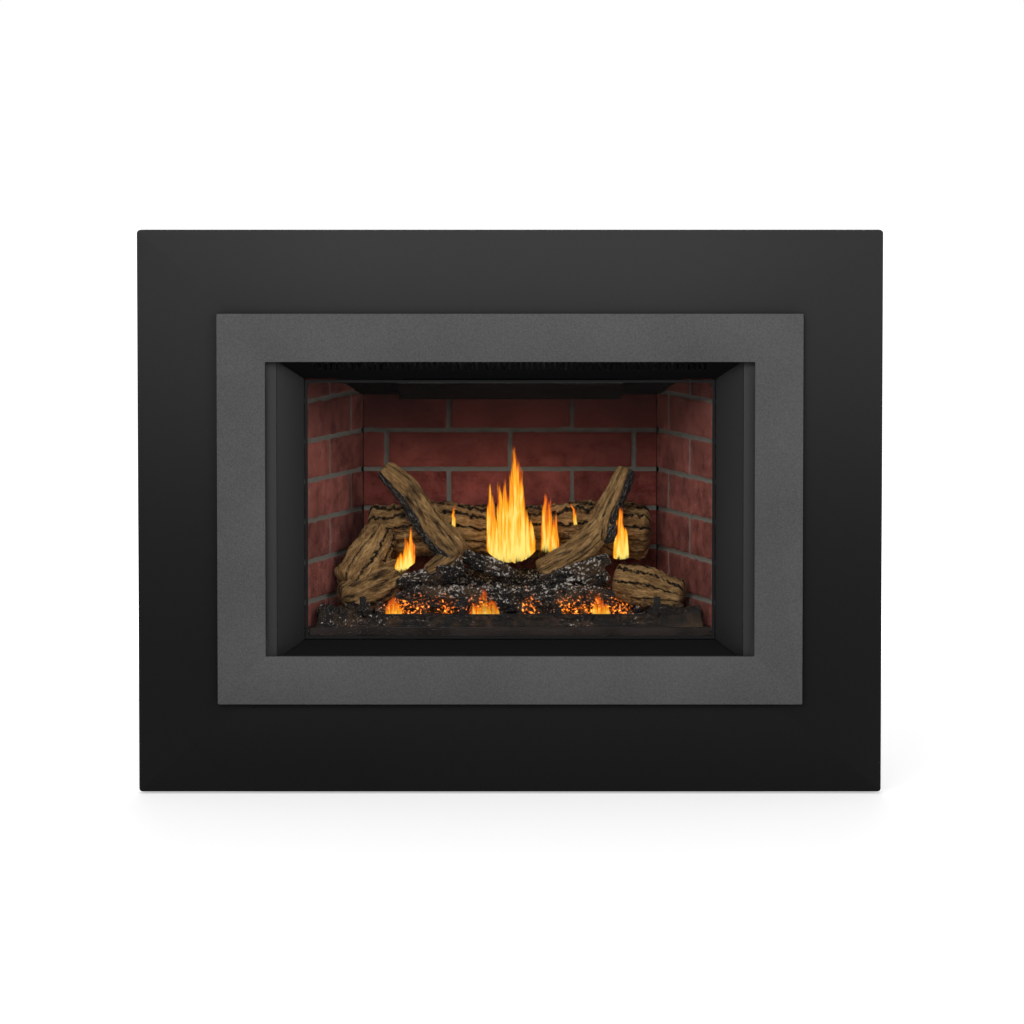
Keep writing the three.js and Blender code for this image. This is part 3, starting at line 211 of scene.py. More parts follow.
class Paint(Graph):
    """A material under construction."""

    def __init__(self, name: str) -> None:
        """Starts an empty material with that name."""
        self.material = bpy.data.materials.new(name)
        self.material.use_nodes = True
        super().__init__(self.material.node_tree)

    def place(self, stretch: Point = (1.0, 1.0, 1.0), attribute: str = "") -> Socket:
        """The piece's own coordinates, or a vector attribute, with each axis multiplied."""
        if attribute:
            source = self.node("ShaderNodeAttribute", {"attribute_name": attribute}, output="Vector")
        else:
            source = self.node("ShaderNodeTexCoord", output="Object")
        if stretch == (1.0, 1.0, 1.0):
            return source
        return self.node("ShaderNodeVectorMath", {"operation": "MULTIPLY"}, {0: source, 1: stretch})

    def value_of(self, attribute: str) -> Socket:
        """A number attribute of the mesh."""
        return self.node("ShaderNodeAttribute", {"attribute_name": attribute}, output="Fac")

    def cloud(
        self, scale: float, detail: float = 4.0, rough: float = 0.5, at: Socket | None = None
    ) -> Socket:
        """Noise of 0 to 1, with scale in waves per metre."""
        inputs = {"Scale": scale, "Detail": detail, "Roughness": rough, "Vector": at or self.place()}
        return self.node("ShaderNodeTexNoise", None, inputs)

    def along(self, axis: str) -> Socket:
        """One of the piece's own coordinates, X, Y or Z."""
        return self.node("ShaderNodeSeparateXYZ", None, {0: self.place()}, axis)

    def blend(self, factor: Socket | float, first: Socket | Colour, second: Socket | Colour) -> Socket:
        """A colour between two colours."""
        settings = {"data_type": "RGBA", "clamp_factor": True}
        return self.node("ShaderNodeMix", settings, {0: factor, 6: first, 7: second}, 2)

    def ramp(self, factor: Socket, stops: Sequence[tuple[float, Colour]]) -> Socket:
        """A colour from a ramp."""
        return self.node("ShaderNodeValToRGB", {"stops": stops}, {0: factor})

    def relief(self, height: Socket, depth: float, strength: float = 1.0) -> Socket:
        """A normal from a height of 0 to 1 and the real depth of that height."""
        return self.node("ShaderNodeBump", None, {"Strength": strength, "Distance": depth, "Height": height})

    def finish(self, **inputs: object) -> Material:
        """Ends the material in one Principled shader.

        Args:
            **inputs: Values or sockets, by the shader's input name with underscores for spaces.

        Returns:
            The finished material.
        """
        named = {key.replace("_", " "): value for key, value in inputs.items()}
        surface = self.node("ShaderNodeBsdfPrincipled", None, named)
        self.node("ShaderNodeOutputMaterial", None, {"Surface": surface})
        return self.material


# ---- Finishes --------------------------------------------------------------------------------------


@dataclass(frozen=True)
class PowderCoat:
    """Baked powder paint: a fine orange-peel grain with a slight change of tone."""

    name: str
    colour: Colour
    roughness: float = 0.5
    grain: float = 900.0
    depth: float = 0.00012
    variation: float = 0.12
    sheen: float = 0.15

    def make(self) -> Material:
        """The finish as a material."""
        paint = Paint(self.name)
        grain = paint.cloud(self.grain, 2.0, 0.6)
        broad = paint.cloud(6.0, 3.0, 0.5)
        tone = (grain - 0.5) * self.variation + (broad - 0.5) * (0.5 * self.variation) + 0.5
        low, high = (times(self.colour, 1 + sign * 2 * self.variation) for sign in (-1, 1))
        return paint.finish(
            Base_Color=paint.blend(tone, low, high),
            Roughness=(broad - 0.5) * 0.12 + self.roughness,
            Specular_IOR_Level=self.sheen,
            Normal=paint.relief(grain, self.depth),
        )


@dataclass(frozen=True)
class PaintedLightCoat:
    """Matt powder paint with painted light: paler towards the top middle and darker towards the bottom and
    the sides, as a tall dark panel looks in soft light.

    span is the heights between which the tone falls, and sides the distances from the middle.
    """

    name: str
    top: Colour
    bottom: Colour
    span: tuple[float, float] = (0.02, 0.86)
    sides: tuple[float, float] = (0.2, 0.56)
    side_level: float = 0.72
    steepness: float = 1.9

    def make(self) -> Material:
        """The finish as a material."""
        paint = Paint(self.name)
        height = paint.along("Z")
        grain = paint.cloud(1000.0, 2.0, 0.6)
        broad = paint.cloud(4.0, 3.0, 0.5)
        across = paint.along("X").size()
        # painted light: the tone is highest at the top middle and falls towards the bottom and the sides
        share = height.ease(*self.span) ** self.steepness * across.ease(*self.sides, 1.0, self.side_level)
        share = share + (grain - 0.5) * 0.16 + (broad - 0.5) * 0.08
        return paint.finish(
            Base_Color=paint.blend(share, self.bottom, self.top),
            Roughness=(broad - 0.5) * 0.1 + 0.6,
            Specular_IOR_Level=0.12,
            Normal=paint.relief(grain, 0.00012),
        )


@dataclass(frozen=True)
class SheetMetal:
    """Bare or plated sheet: rolled streaks, spangle and faint stains."""

    name: str
    colour: Colour
    roughness: float = 0.38
    spangle: float = 90.0
    metallic: float = 0.85
    grain_along: Point = (1.0, 1.0, 6.0)

    def make(self) -> Material:
        """The finish as a material."""
        paint = Paint(self.name)
        places = {"Scale": self.spangle, "Vector": paint.place()}
        cells = paint.node("ShaderNodeTexVoronoi", None, places, "Color")
        spangle = paint.node("ShaderNodeSeparateColor", None, {0: cells})
        streaks = paint.cloud(140.0, 3.0, 0.6, paint.place(self.grain_along))
        stain = paint.cloud(9.0, 5.0, 0.6).ease(0.52, 0.78)
        tone = spangle * 0.35 + streaks * 0.65
        bright = tuple(min(1.0, v * 1.12) for v in self.colour)
        clean = paint.blend(tone, times(self.colour, 0.72), bright)
        return paint.finish(
            Base_Color=paint.blend(stain * 0.35, clean, times(self.colour, 0.5)),
            Metallic=self.metallic,
            Roughness=streaks * 0.16 + stain * 0.15 + (self.roughness - 0.08),
            Normal=paint.relief(streaks, 0.00006),
        )


@dataclass(frozen=True)
class HotPaint:
    """Heat-proof paint on firebox steel, with soot in broad patches."""

    name: str
    colour: Colour
    soot: Colour = (0.006, 0.006, 0.006)
    roughness: float = 0.62

    def make(self) -> Material:
        """The finish as a material."""
        paint = Paint(self.name)
        fine = paint.cloud(420.0, 3.0, 0.6)
        broad = paint.cloud(14.0, 5.0, 0.6)
        stained = paint.blend(broad.ease(0.4, 0.75), self.colour, self.soot)
        return paint.finish(
            Base_Color=stained,
            Roughness=(fine - 0.5) * 0.2 + self.roughness,
            Specular_IOR_Level=0.1,
            Normal=paint.relief(fine, 0.0002),
        )


@dataclass(frozen=True)
class BrickFace:
    """Moulded brick liner: mottled red faces, grey joints, and a darkening towards the top that is partly
    soot and partly painted shade under the ceiling.

    The mesh gives joint, 1 in a joint, and tone, a number from 0 to 1 that is the same over one brick.
    """

    name: str
    dark: Colour
    light: Colour
    joint: Colour
    soot_and_shade: Colour = (0.012, 0.003, 0.003)
    soot_and_shade_from: float = 0.46
    soot_and_shade_to: float = 0.68
    soot_and_shade_most: float = 0.7

    def make(self) -> Material:
        """The finish as a material."""
        paint = Paint(self.name)
        joint = paint.value_of("joint").ease(0.35, 0.75)
        tone = paint.value_of("tone")
        mottle = paint.cloud(38.0, 6.0, 0.62)
        speck = paint.cloud(260.0, 3.0, 0.65)
        wash = paint.cloud(11.0, 4.0, 0.55).ease(0.35, 0.7)
        shift = (mottle - 0.5) * 2.3 + (speck - 0.5) * 1.6
        face = paint.blend(tone * 0.4 + shift + 0.34, self.dark, self.light)
        face = paint.blend(wash * 0.45, face, times(self.dark, 0.55))
        face = paint.blend(speck.ease(0.5, 0.68) * 0.45, face, times(self.dark, 0.35))
        mortar = paint.blend(speck * 0.8, times(self.joint, 0.62), self.joint)
        clean = paint.blend(joint, face, mortar)
        # soot and painted shade: the bricks darken towards the top, under the ceiling
        soot_and_shade = (paint.along("Z") + (mottle - 0.5) * 0.12).ease(self.soot_and_shade_from, self.soot_and_shade_to)
        return paint.finish(
            Base_Color=paint.blend(soot_and_shade * self.soot_and_shade_most, clean, self.soot_and_shade),
            Roughness=speck * 0.15 + 0.78,
            Specular_IOR_Level=0.12,
            Normal=paint.relief(speck * 0.5 + mottle * 0.5, 0.0005),
        )


@dataclass(frozen=True)
class Bark:
    """Cast log with painted bark.

    The mesh gives grain, its own straightened coordinates, crevice, 1 deep in the bark, and char, 1 where
    the fire has blackened it and on one side of some logs, which is blackened partly as char and partly as
    painted shade.
    """

    name: str
    deep_tone: Colour
    mid_tone: Colour
    pale_tone: Colour
    highlight: Colour = (0.62, 0.44, 0.22)
    ash: Colour = (0.50, 0.46, 0.41)
    soot: Colour = (0.008, 0.007, 0.006)

    def make(self) -> Material:
        """The finish as a material."""
        paint = Paint(self.name)
        grain = paint.place((9.0, 60.0, 60.0), "grain")
        fibres = paint.cloud(3.2, 6.0, 0.66, grain)
        flecks = paint.cloud(13.0, 3.0, 0.7, grain)
        patches = paint.cloud(26.0, 5.0, 0.6)
        crevice = paint.value_of("crevice")
        # char: fire blackening, and on one side of some logs painted shade as well
        char = (paint.value_of("char") + (patches - 0.5) * 0.9).ease(0.35, 0.65)
        wood = paint.ramp(
            fibres * 0.6 + patches * 0.35 + (flecks - 0.5) * 0.55,
            [(0.34, self.deep_tone), (0.46, self.mid_tone), (0.62, self.pale_tone)],
        )
        wood = paint.blend((flecks - crevice * 0.3).ease(0.6, 0.7) * 0.8, wood, self.highlight)
        wood = paint.blend(crevice.ease(0.25, 0.8), wood, times(self.deep_tone, 0.12))
        char_and_shade = paint.blend(flecks.ease(0.56, 0.66) * 0.8, self.soot, self.ash)
        height = fibres * 0.5 + flecks * 0.3 + patches * 0.3
        return paint.finish(
            Base_Color=paint.blend(char, wood, char_and_shade),
            Roughness=fibres * 0.15 + 0.72,
            Specular_IOR_Level=0.15,
            Normal=paint.relief(height, 0.0035),
        )


@dataclass(frozen=True)
class Char:
    """Charred wood and lava rock: black and brown lumps with flecks of ash and glowing bits.

    The mesh may give hotness, 1 in the middle of the fire. Without it nothing glows.
    """

    name: str
    body: Colour = (0.012, 0.010, 0.009)
    scorched: Colour = (0.095, 0.054, 0.028)
    ash: Colour = (0.58, 0.53, 0.47)
    ash_amount: float = 0.5
    glow: Colour = (1.0, 0.2, 0.015)
    hottest: Colour = (1.0, 0.55, 0.06)
    glow_strength: float = 2.0

    def make(self) -> Material:
        """The finish as a material."""
        paint = Paint(self.name)
        lumps = paint.cloud(70.0, 5.0, 0.65)
        flakes = paint.cloud(230.0, 3.0, 0.66)
        groups = paint.cloud(20.0, 3.0, 0.6) - 0.5
        brown = paint.cloud(24.0, 4.0, 0.6).ease(0.46, 0.66)
        upward = paint.node("ShaderNodeNewGeometry", output="Normal")
        upward = paint.node("ShaderNodeSeparateXYZ", None, {0: upward}, "Z")
        least = 1.28 - self.ash_amount * 0.7
        settled = (upward * 0.14 + flakes * 1.5 + lumps * 0.3 + groups * 0.5).ease(least, least + 0.12)
        body = paint.blend(brown * 0.6 + (lumps - 0.5) * 1.5, self.body, self.scorched)
        heat = paint.value_of("hotness")
        cracks = (1.0 - (lumps - 0.5).size() * 7.0).most(0.0)
        hot = (heat * 0.6 + cracks * 0.3 + (flakes - 0.5) * 3.6).ease(0.78, 1.5) * heat.ease(0.05, 0.4)
        cool = [(0.0, (0.0, 0.0, 0.0)), (0.3, times(self.glow, 0.35))]
        fire = paint.ramp(hot, cool + [(0.6, self.glow), (1.0, self.hottest)])
        bare = 0.9 - heat.ease(0.2, 0.7) * 0.8
        return paint.finish(
            Base_Color=paint.blend(settled * bare, body, self.ash),
            Roughness=0.8,
            Specular_IOR_Level=0.12,
            Emission_Color=fire,
            Emission_Strength=self.glow_strength,
            Normal=paint.relief(lumps * 0.6 + flakes * 0.4, 0.003),
        )


@dataclass(frozen=True)
class FlameSkin:
    """Burning gas: yellow inside, orange at the rim and tip, clear at the root.

    The mesh gives rise, 0 at the root and 1 at the tip, and rim, 0 inside and 1 at the outline.
    """

    name: str
    core: Colour = (1.0, 0.74, 0.16)
    body: Colour = (1.0, 0.42, 0.008)
    edge: Colour = (0.80, 0.11, 0.002)
    strength: float = 1.15
    thickness: float = 1.0

    def make(self) -> Material:
        """The finish as a material."""
        paint = Paint(self.name)
        rise = paint.value_of("rise")
        rim = paint.value_of("rim")
        streaks = paint.cloud(60.0, 3.0, 0.6, paint.place((4.0, 0.3, 0.3))) - 0.5
        cool = rim * 0.60 + rise * 0.45 + streaks * 2.0 + (1.0 - self.thickness) * 0.5
        colour = paint.ramp(cool, [(0.10, self.core), (0.42, self.body), (0.80, self.edge)])
        inside = 1.0 - (rim + rise * 0.15 + streaks * 1.3).ease(0.60, 1.0)
        root = (rise + streaks * 0.25).ease(-0.03, 0.09)
        return paint.finish(
            Base_Color=(0.0, 0.0, 0.0),
            Roughness=1.0,
            Emission_Color=colour,
            Emission_Strength=self.strength,
            Alpha=(inside * root * self.thickness).least(1.0),
        )


@dataclass(frozen=True)
class MouldedPlastic:
    """Injection-moulded plastic with a spark-eroded grain."""

    name: str
    colour: Colour
    roughness: float = 0.42

    def make(self) -> Material:
        """The finish as a material."""
        paint = Paint(self.name)
        grain = paint.cloud(1800.0, 2.0, 0.5)
        rubbed = paint.cloud(60.0, 4.0, 0.6)
        return paint.finish(
            Base_Color=paint.blend(rubbed * 0.5, self.colour, tuple(v * 1.5 + 0.004 for v in self.colour)),
            Roughness=rubbed * 0.12 + self.roughness,
            Normal=paint.relief(grain, 0.00005),
        )


@dataclass(frozen=True)
class CeramicGlass:
    """Clear ceramic glass with a faint, uneven haze."""

    name: str
    alpha: float = 0.02

    def make(self) -> Material:
        """The finish as a material."""
        paint = Paint(self.name)
        haze = paint.cloud(7.0, 4.0, 0.6).ease(0.45, 0.8)
        return paint.finish(
            Base_Color=(0.02, 0.022, 0.022),
            Roughness=0.06,
            Alpha=haze * 0.012 + self.alpha,
        )


# ---- Mesh helpers ----------------------------------------------------------------------------------


def object_of(
    name: str, mesh: Mesh, material: Material | None = None
) -> Object:
    """Links a mesh to the scene as an object at the origin.

    Args:
        name: The piece's name.
        mesh: Its mesh, in place.
        material: Its finish, if the mesh has none yet.

    Returns:
        The new object.
    """
    made = bpy.data.objects.new(name, mesh)
    bpy.context.scene.collection.objects.link(made)
    if material is not None:
        mesh.materials.clear()
        mesh.materials.append(material)
    return made


def mesh_of(name: str, points: np.ndarray | list, faces: list, smooth: bool = True) -> Mesh:
    """A mesh from points and faces, with its normals made to point out."""
    mesh = bpy.data.meshes.new(name)
    mesh.from_pydata([tuple(p) for p in points], [], [tuple(f) for f in faces])
    work = bmesh.new()
    work.from_mesh(mesh)
    bmesh.ops.recalc_face_normals(work, faces=work.faces)
    work.to_mesh(mesh)
    work.free()
    mesh.polygons.foreach_set("use_smooth", [smooth] * len(mesh.polygons))
    mesh.update()
    return mesh


def give(mesh: Mesh, name: str, values: np.ndarray) -> None:
    """Stores one number, or one vector, for each point of a mesh."""
    values = np.asarray(values, np.float32)
    if values.ndim == 2:
        mesh.attributes.new(name, "FLOAT_VECTOR", "POINT").data.foreach_set("vector", values.ravel())
    else:
        mesh.attributes.new(name, "FLOAT", "POINT").data.foreach_set("value", values)


def places_of(mesh: Mesh) -> np.ndarray:
    """The places of a mesh's points, one row each."""
    return np.array([vertex.co for vertex in mesh.vertices])


def soft_step(share: float) -> float:
    """A smooth rise from 0 to 1 as the share goes from 0 to 1, and flat beyond."""
    share = min(1.0, max(0.0, share))
    return share * share * (3 - 2 * share)


def fractal(point: Sequence[float], scale: float, octaves: int = 4, seed: float = 0.0) -> float:
    """Layered noise of about -1 to 1."""
    place = Vector(point) * scale + Vector((seed, seed * 0.7, -seed))
    return noise.fractal(place, 0.9, 2.1, octaves)


def ridged(point: Sequence[float], scale: Point, seed: float = 0.0) -> float:
    """Noise of 0 to 1 with narrow valleys, stretched by a scale for each axis."""
    place = Vector((point[0] * scale[0] + seed, point[1] * scale[1], point[2] * scale[2] - seed))
    value = 0.0
    size = 0.6
    for _ in range(4):
        value += size * abs(noise.noise(place))
        place = place * 2.07
        size *= 0.5
    return min(1.0, value * 1.9)


def grid_faces(rows: int, columns: int, closed: bool = False) -> list[tuple[int, int, int, int]]:
    """The quads of a grid of points, row by row; closed joins the last column to the first."""
    faces = []
    for row in range(rows - 1):
        for column in range(columns if closed else columns - 1):
            beside = (column + 1) % columns
            low = row * columns
            faces.append((low + column, low + beside, low + columns + beside, low + columns + column))
    return faces


def rim_of(rows: int, columns: int) -> list[int]:
    """The points round the edge of a grid, in order."""
    last = (rows - 1) * columns
    there = list(range(columns)) + [row * columns + columns - 1 for row in range(1, rows)]
    back = [last + column for column in range(columns - 2, -1, -1)]
    return there + back + [row * columns for row in range(rows - 2, 0, -1)]


def wall_faces(rim: Sequence[int], partners: Sequence[int]) -> list[tuple[int, int, int, int]]:
    """The quads between a closed rim and its partners, point by point."""
    pairs = list(zip(rim, partners))
    return [(a, c, d, b) for (a, b), (c, d) in zip(pairs, pairs[1:] + pairs[:1])]


def fan_faces(row: int, steps: int, hub: int) -> list[tuple[int, int, int]]:
    """The triangles that close one ring of a grid round a middle point."""
    return [(row * steps + k, row * steps + (k + 1) % steps, hub) for k in range(steps)]


def smooth_line(points: Sequence[Sequence[float]], count: int) -> np.ndarray:
    """Points along a smooth curve through the given points.

    Args:
        points: Places, with any further numbers such as a radius.
        count: How many points to return.

    Returns:
        An array with one row for each point.
    """
    knots = np.array(points, float)
    ends = np.vstack([2 * knots[0] - knots[1], knots, 2 * knots[-1] - knots[-2]])
    made = []
    for share in np.linspace(0, len(knots) - 1, count):
        i = min(int(share), len(knots) - 2)
        t = share - i
        a, b, c, d = ends[i : i + 4]
        bend, twist = 2 * a - 5 * b + 4 * c - d, 3 * b - a - 3 * c + d
        made.append(0.5 * (2 * b + (c - a) * t + bend * t**2 + twist * t**3))
    return np.array(made)


def rounded_copy(name: str, node: Object, width: float, segments: int = 2) -> Mesh:
    """A copy of a model piece with its doubles merged and its sharp edges bevelled.

    Args:
        name: The new mesh's name.
        node: The model's own piece.
        width: The bevel's width.
        segments: Faces across each bevel.

    Returns:
        The new mesh.
    """
    merge, flat, sharp, smooth = 2e-5, math.radians(1.0), math.radians(38), math.radians(32)
    work = bmesh.new()
    work.from_mesh(node.data)
    bmesh.ops.remove_doubles(work, verts=work.verts, dist=merge)
    bmesh.ops.dissolve_limit(work, angle_limit=flat, verts=work.verts, edges=work.edges)
    edges = [e for e in work.edges if len(e.link_faces) == 2 and e.calc_face_angle(0) > sharp]
    bmesh.ops.bevel(
        work, geom=edges, offset=width, offset_type="OFFSET", segments=segments, profile=0.5,
        affect="EDGES", clamp_overlap=True,
    )
    bmesh.ops.triangulate(work, faces=[f for f in work.faces if len(f.verts) > 4])
    mesh = bpy.data.meshes.new(name)
    work.to_mesh(mesh)
    work.free()
    mesh.polygons.foreach_set("use_smooth", [True] * len(mesh.polygons))
    mesh.set_sharp_from_angle(angle=smooth)
    return mesh


def lathe(
    name: str,
    profile: Sequence[tuple[float, float]],
    centre: Point,
    axis: str,
    steps: int = 64,
    cut: Callable[[float, float], float] | None = None,
) -> Mesh:
    """A turned piece.

    Args:
        name: The mesh's name.
        profile: Pairs of radius and place along the axis. Ends that lie on the axis close the piece; with no
            end there the last ring joins the first, as in a tube.
        centre: Where the axis starts.
        axis: "X", "Y" or "Z".
        steps: Faces round it.
        cut: How far the surface lies under the profile, by the turn and the place along the axis.

    Returns:
        The closed mesh.
    """
    rings = [(r, h) for r, h in profile if r > 0]
    hubs = [(r, h) for r, h in (profile[0], profile[-1]) if r == 0]
    points = []
    for radius, height in rings + hubs:
        for turn in [2 * math.pi * i / steps for i in range(steps if radius else 1)]:
            reach = radius - cut(turn, height) if cut and radius else radius
            a, b = reach * math.cos(turn), reach * math.sin(turn)
            points.append({"X": (height, a, b), "Y": (a, height, b), "Z": (a, b, height)}[axis])
    faces, last = grid_faces(len(rings), steps, closed=True), len(rings) - 1
    if hubs:
        faces += fan_faces(0, steps, len(rings) * steps) + fan_faces(last, steps, len(rings) * steps + 1)
    else:
        faces += wall_faces(range(last * steps, (last + 1) * steps), range(steps))
    mesh = mesh_of(name, np.array(points) + np.array(centre), faces)
    mesh.set_sharp_from_angle(angle=math.radians(35))
    return mesh


def box_mesh(name: str, low: Point, high: Point) -> Mesh:
    """A box between two corners."""
    points = [(x, y, z) for z in (low[2], high[2]) for y in (low[1], high[1]) for x in (low[0], high[0])]
    faces = [(0, 2, 3, 1), (4, 5, 7, 6), (0, 1, 5, 4), (1, 3, 7, 5), (3, 2, 6, 7), (2, 0, 4, 6)]
    return mesh_of(name, points, faces, smooth=False)


def joined(name: str, meshes: Sequence[Mesh]) -> Mesh:
    """Several meshes as one."""
    work = bmesh.new()
    for mesh in meshes:
        work.from_mesh(mesh)
    made = bpy.data.meshes.new(name)
    work.to_mesh(made)
    work.free()
    return made


# ---- Repeated pieces -------------------------------------------------------------------------------


class Pattern(Graph):
    """A Geometry Nodes tree with named inputs, applied to a mesh and baked to a plain one."""

    KINDS = {
        float: "NodeSocketFloat", int: "NodeSocketInt",
        Object: "NodeSocketObject", Material: "NodeSocketMaterial",
    }

    def __init__(self, name: str, **inputs: object) -> None:
        """Starts a tree whose inputs have these names and values."""
        super().__init__(bpy.data.node_groups.new(name, "GeometryNodeTree"))
        face = self.tree.interface
        face.new_socket("Geometry", in_out="INPUT", socket_type="NodeSocketGeometry")
        face.new_socket("Geometry", in_out="OUTPUT", socket_type="NodeSocketGeometry")
        self.values = {}
        for key, value in inputs.items():
            kind = next(v for k, v in self.KINDS.items() if isinstance(value, k))
            made = face.new_socket(key, in_out="INPUT", socket_type=kind)
            self.values[made.identifier] = value
        self.source = self.tree.nodes.new("NodeGroupInput")

    def given(self, name: str) -> Socket:
        """A named input of the tree."""
        return Socket(self, self.source.outputs[name])

    def end(self, geometry: Socket) -> None:
        """Realizes the instances, sets the material and ends the tree."""
        real = self.node("GeometryNodeRealizeInstances", None, {0: geometry})
        dress = {"Geometry": real, "Material": self.given("finish")}
        dressed = self.node("GeometryNodeSetMaterial", None, dress)
        smooth = self.node("GeometryNodeSetShadeSmooth", None, {0: dressed})
        self.node("NodeGroupOutput", None, {0: smooth})

    def bake(self, name: str, base: Mesh) -> Mesh:
        """Runs the tree on a mesh.

        Args:
            name: The new mesh's name.
            base: The mesh that the tree works on.

        Returns:
            The plain result.
        """
        carrier = object_of(name + "_base", base)
        modifier = carrier.modifiers.new("pattern", "NODES")
        modifier.node_group = self.tree
        for identifier, value in self.values.items():
            modifier[identifier] = value
        graph = bpy.context.evaluated_depsgraph_get()
        graph.update()
        made = bpy.data.meshes.new_from_object(carrier.evaluated_get(graph))
        made.name = name
        carrier.modifiers.remove(modifier)
        bpy.data.objects.remove(carrier)
        return made


def hidden_shape(name: str, mesh: Mesh) -> Object:
    """An object that a pattern copies, kept out of the scene."""
    return bpy.data.objects.new(name, mesh)


def scattered(
    name: str, base: Mesh, shape: Object, finish: Material,
    count_per_area: float, small: float, large: float, seed: int,
) -> Mesh:
    """Copies of a shape strewn over a surface.

    Args:
        name: The new mesh's name.
        base: The surface.
        shape: The lump that is copied, about one metre across.
        finish: The lumps' material.
        count_per_area: Lumps on a square metre.
        small: The least size.
        large: The greatest size.
        seed: The fixed seed of every random choice.

    Returns:
        The lumps as one mesh, with a tone of 0 to 1 for each lump.
    """
    pattern = Pattern(
        name, finish=finish, shape=shape, density=count_per_area, small=small, large=large, seed=seed
    )
    given = pattern.given
    spread = {"Mesh": given("Geometry"), "Density": given("density"), "Seed": given("seed")}
    points = pattern.node("GeometryNodeDistributePointsOnFaces", None, spread, "Points")

    def chance(kind: str, inputs: dict[int | str, object], output: int = 0) -> Socket:
        """A random value for each lump.

        Args:
            kind: FLOAT or FLOAT_VECTOR.
            inputs: The least and the greatest value, and the seed.
            output: The number of the output that is wanted.

        Returns:
            The random value.
        """
        return pattern.node("FunctionNodeRandomValue", {"data_type": kind}, inputs, output)

    turn = chance("FLOAT_VECTOR", {0: (-3.1, -3.1, -3.1), 1: (3.1, 3.1, 3.1), "Seed": given("seed")})
    size = chance("FLOAT", {2: given("small"), 3: given("large"), "Seed": given("seed")}, 1)
    uneven = chance("FLOAT_VECTOR", {0: (0.6, 0.6, 0.5), 1: (1.3, 1.3, 1.0), "Seed": seed + 1})
    scale = pattern.node("ShaderNodeVectorMath", {"operation": "SCALE"}, {0: uneven, "Scale": size})
    copied = pattern.node("GeometryNodeObjectInfo", None, {0: given("shape")}, "Geometry")
    placed = {"Points": points, "Instance": copied, "Rotation": turn, "Scale": scale}
    lumps = pattern.node("GeometryNodeInstanceOnPoints", None, placed)
    tone = chance("FLOAT", {2: 0.0, 3: 1.0, "Seed": seed + 2}, 1)
    kept = {"data_type": "FLOAT", "domain": "INSTANCE"}
    stored = {"Geometry": lumps, "Name": "tone", "Value": tone}
    pattern.end(pattern.node("GeometryNodeStoreNamedAttribute", kept, stored))
    return pattern.bake(name, base)


def set_on(
    name: str, places: Sequence[tuple[Point, Point]], shape: Object,
    finish: Material, size: float,
) -> Mesh:
    """Copies of a fastener, each standing on a point along its normal.

    Args:
        name: The new mesh's name.
        places: Pairs of a point and the way its fastener faces.
        shape: The fastener, along +Z and one metre across.
        finish: Its material.
        size: The fastener's real width.

    Returns:
        The fasteners as one mesh.
    """
    base = bpy.data.meshes.new(name + "_points")
    base.from_pydata([p for p, _ in places], [], [])
    facings = base.attributes.new("facing", "FLOAT_VECTOR", "POINT")
    facings.data.foreach_set("vector", np.array([n for _, n in places]).ravel())
    pattern = Pattern(name, finish=finish, shape=shape, size=size)
    named = {"data_type": "FLOAT_VECTOR"}
    facing = pattern.node("GeometryNodeInputNamedAttribute", named, {"Name": "facing"})
    turn = pattern.node("FunctionNodeAlignRotationToVector", {"axis": "Z"}, {"Vector": facing})
    copied = pattern.node("GeometryNodeObjectInfo", None, {0: pattern.given("shape")}, "Geometry")
    scale = pattern.node("ShaderNodeCombineXYZ", None, {i: pattern.given("size") for i in range(3)})
    points = pattern.node("GeometryNodeMeshToPoints", None, {"Mesh": pattern.given("Geometry")})
    placed = {"Points": points, "Instance": copied, "Rotation": turn, "Scale": scale}
    pattern.end(pattern.node("GeometryNodeInstanceOnPoints", None, placed))
    return pattern.bake(name, base)


# ---- Sub-assemblies --------------------------------------------------------------------------------


@dataclass
class Assembly:
    """A sub-assembly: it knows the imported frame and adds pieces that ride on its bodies."""

    frame: dict
    made: list[str] = field(default_factory=list)

    def body_of(self, node: str) -> str:
        """The body that a model piece rides on."""
        return self.frame["nodes"][node]["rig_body"]

    def dress(self, node: str, finish: Material, slot: str) -> None:
        """Gives a model piece its material, with its shape as it is."""
        mesh = self.frame["nodes"][node].data
        mesh.materials.clear()
        mesh.materials.append(finish)
        self.made.append(node)

    def add(
        self, name: str, mesh: Mesh, body: str, slot: str,
        finish: Material | None = None, stands_for: Sequence[str] = (),
    ) -> Object:
        """Adds a finished piece.

        Args:
            name: The piece's name.
            mesh: Its mesh, in place.
            body: The body that it rides on.
            slot: The record's material slot; not used.
            finish: Its material, if the mesh has none.
            stands_for: The model pieces that it replaces.

        Returns:
            The piece.
        """
        piece = object_of(name, mesh, finish)
        if stands_for:
            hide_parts(*stands_for)
        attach(piece, body)
        self.made.append(name)
        return piece

    def soften(self, node: str, finish: Material, slot: str, width: float) -> None:
        """Replaces a model piece by a copy with rounded edges."""
        name = node + "_finished"
        mesh = rounded_copy(name, self.frame["nodes"][node], width)
        self.add(name, mesh, self.body_of(node), slot, finish, [node])

    def report(self) -> None:
        """Logs the pieces that were made."""
        log.info("%s: %s", type(self).__name__, ", ".join(self.made))


@dataclass(frozen=True)
class SoftBox:
    """A soft lamp that faces a point."""

    name: str
    place: Point
    aim: Point
    size: tuple[float, float]
    power: float

    def build(self) -> None:
        """Adds the lamp."""
        data = bpy.data.lights.new(self.name, "AREA")
        data.shape, data.energy = "RECTANGLE", self.power
        data.size, data.size_y = self.size
        made = bpy.data.objects.new(self.name, data)
        made.location = self.place
        made.rotation_euler = (Vector(self.aim) - Vector(self.place)).to_track_quat("-Z", "Y").to_euler()
        bpy.context.scene.collection.objects.link(made)


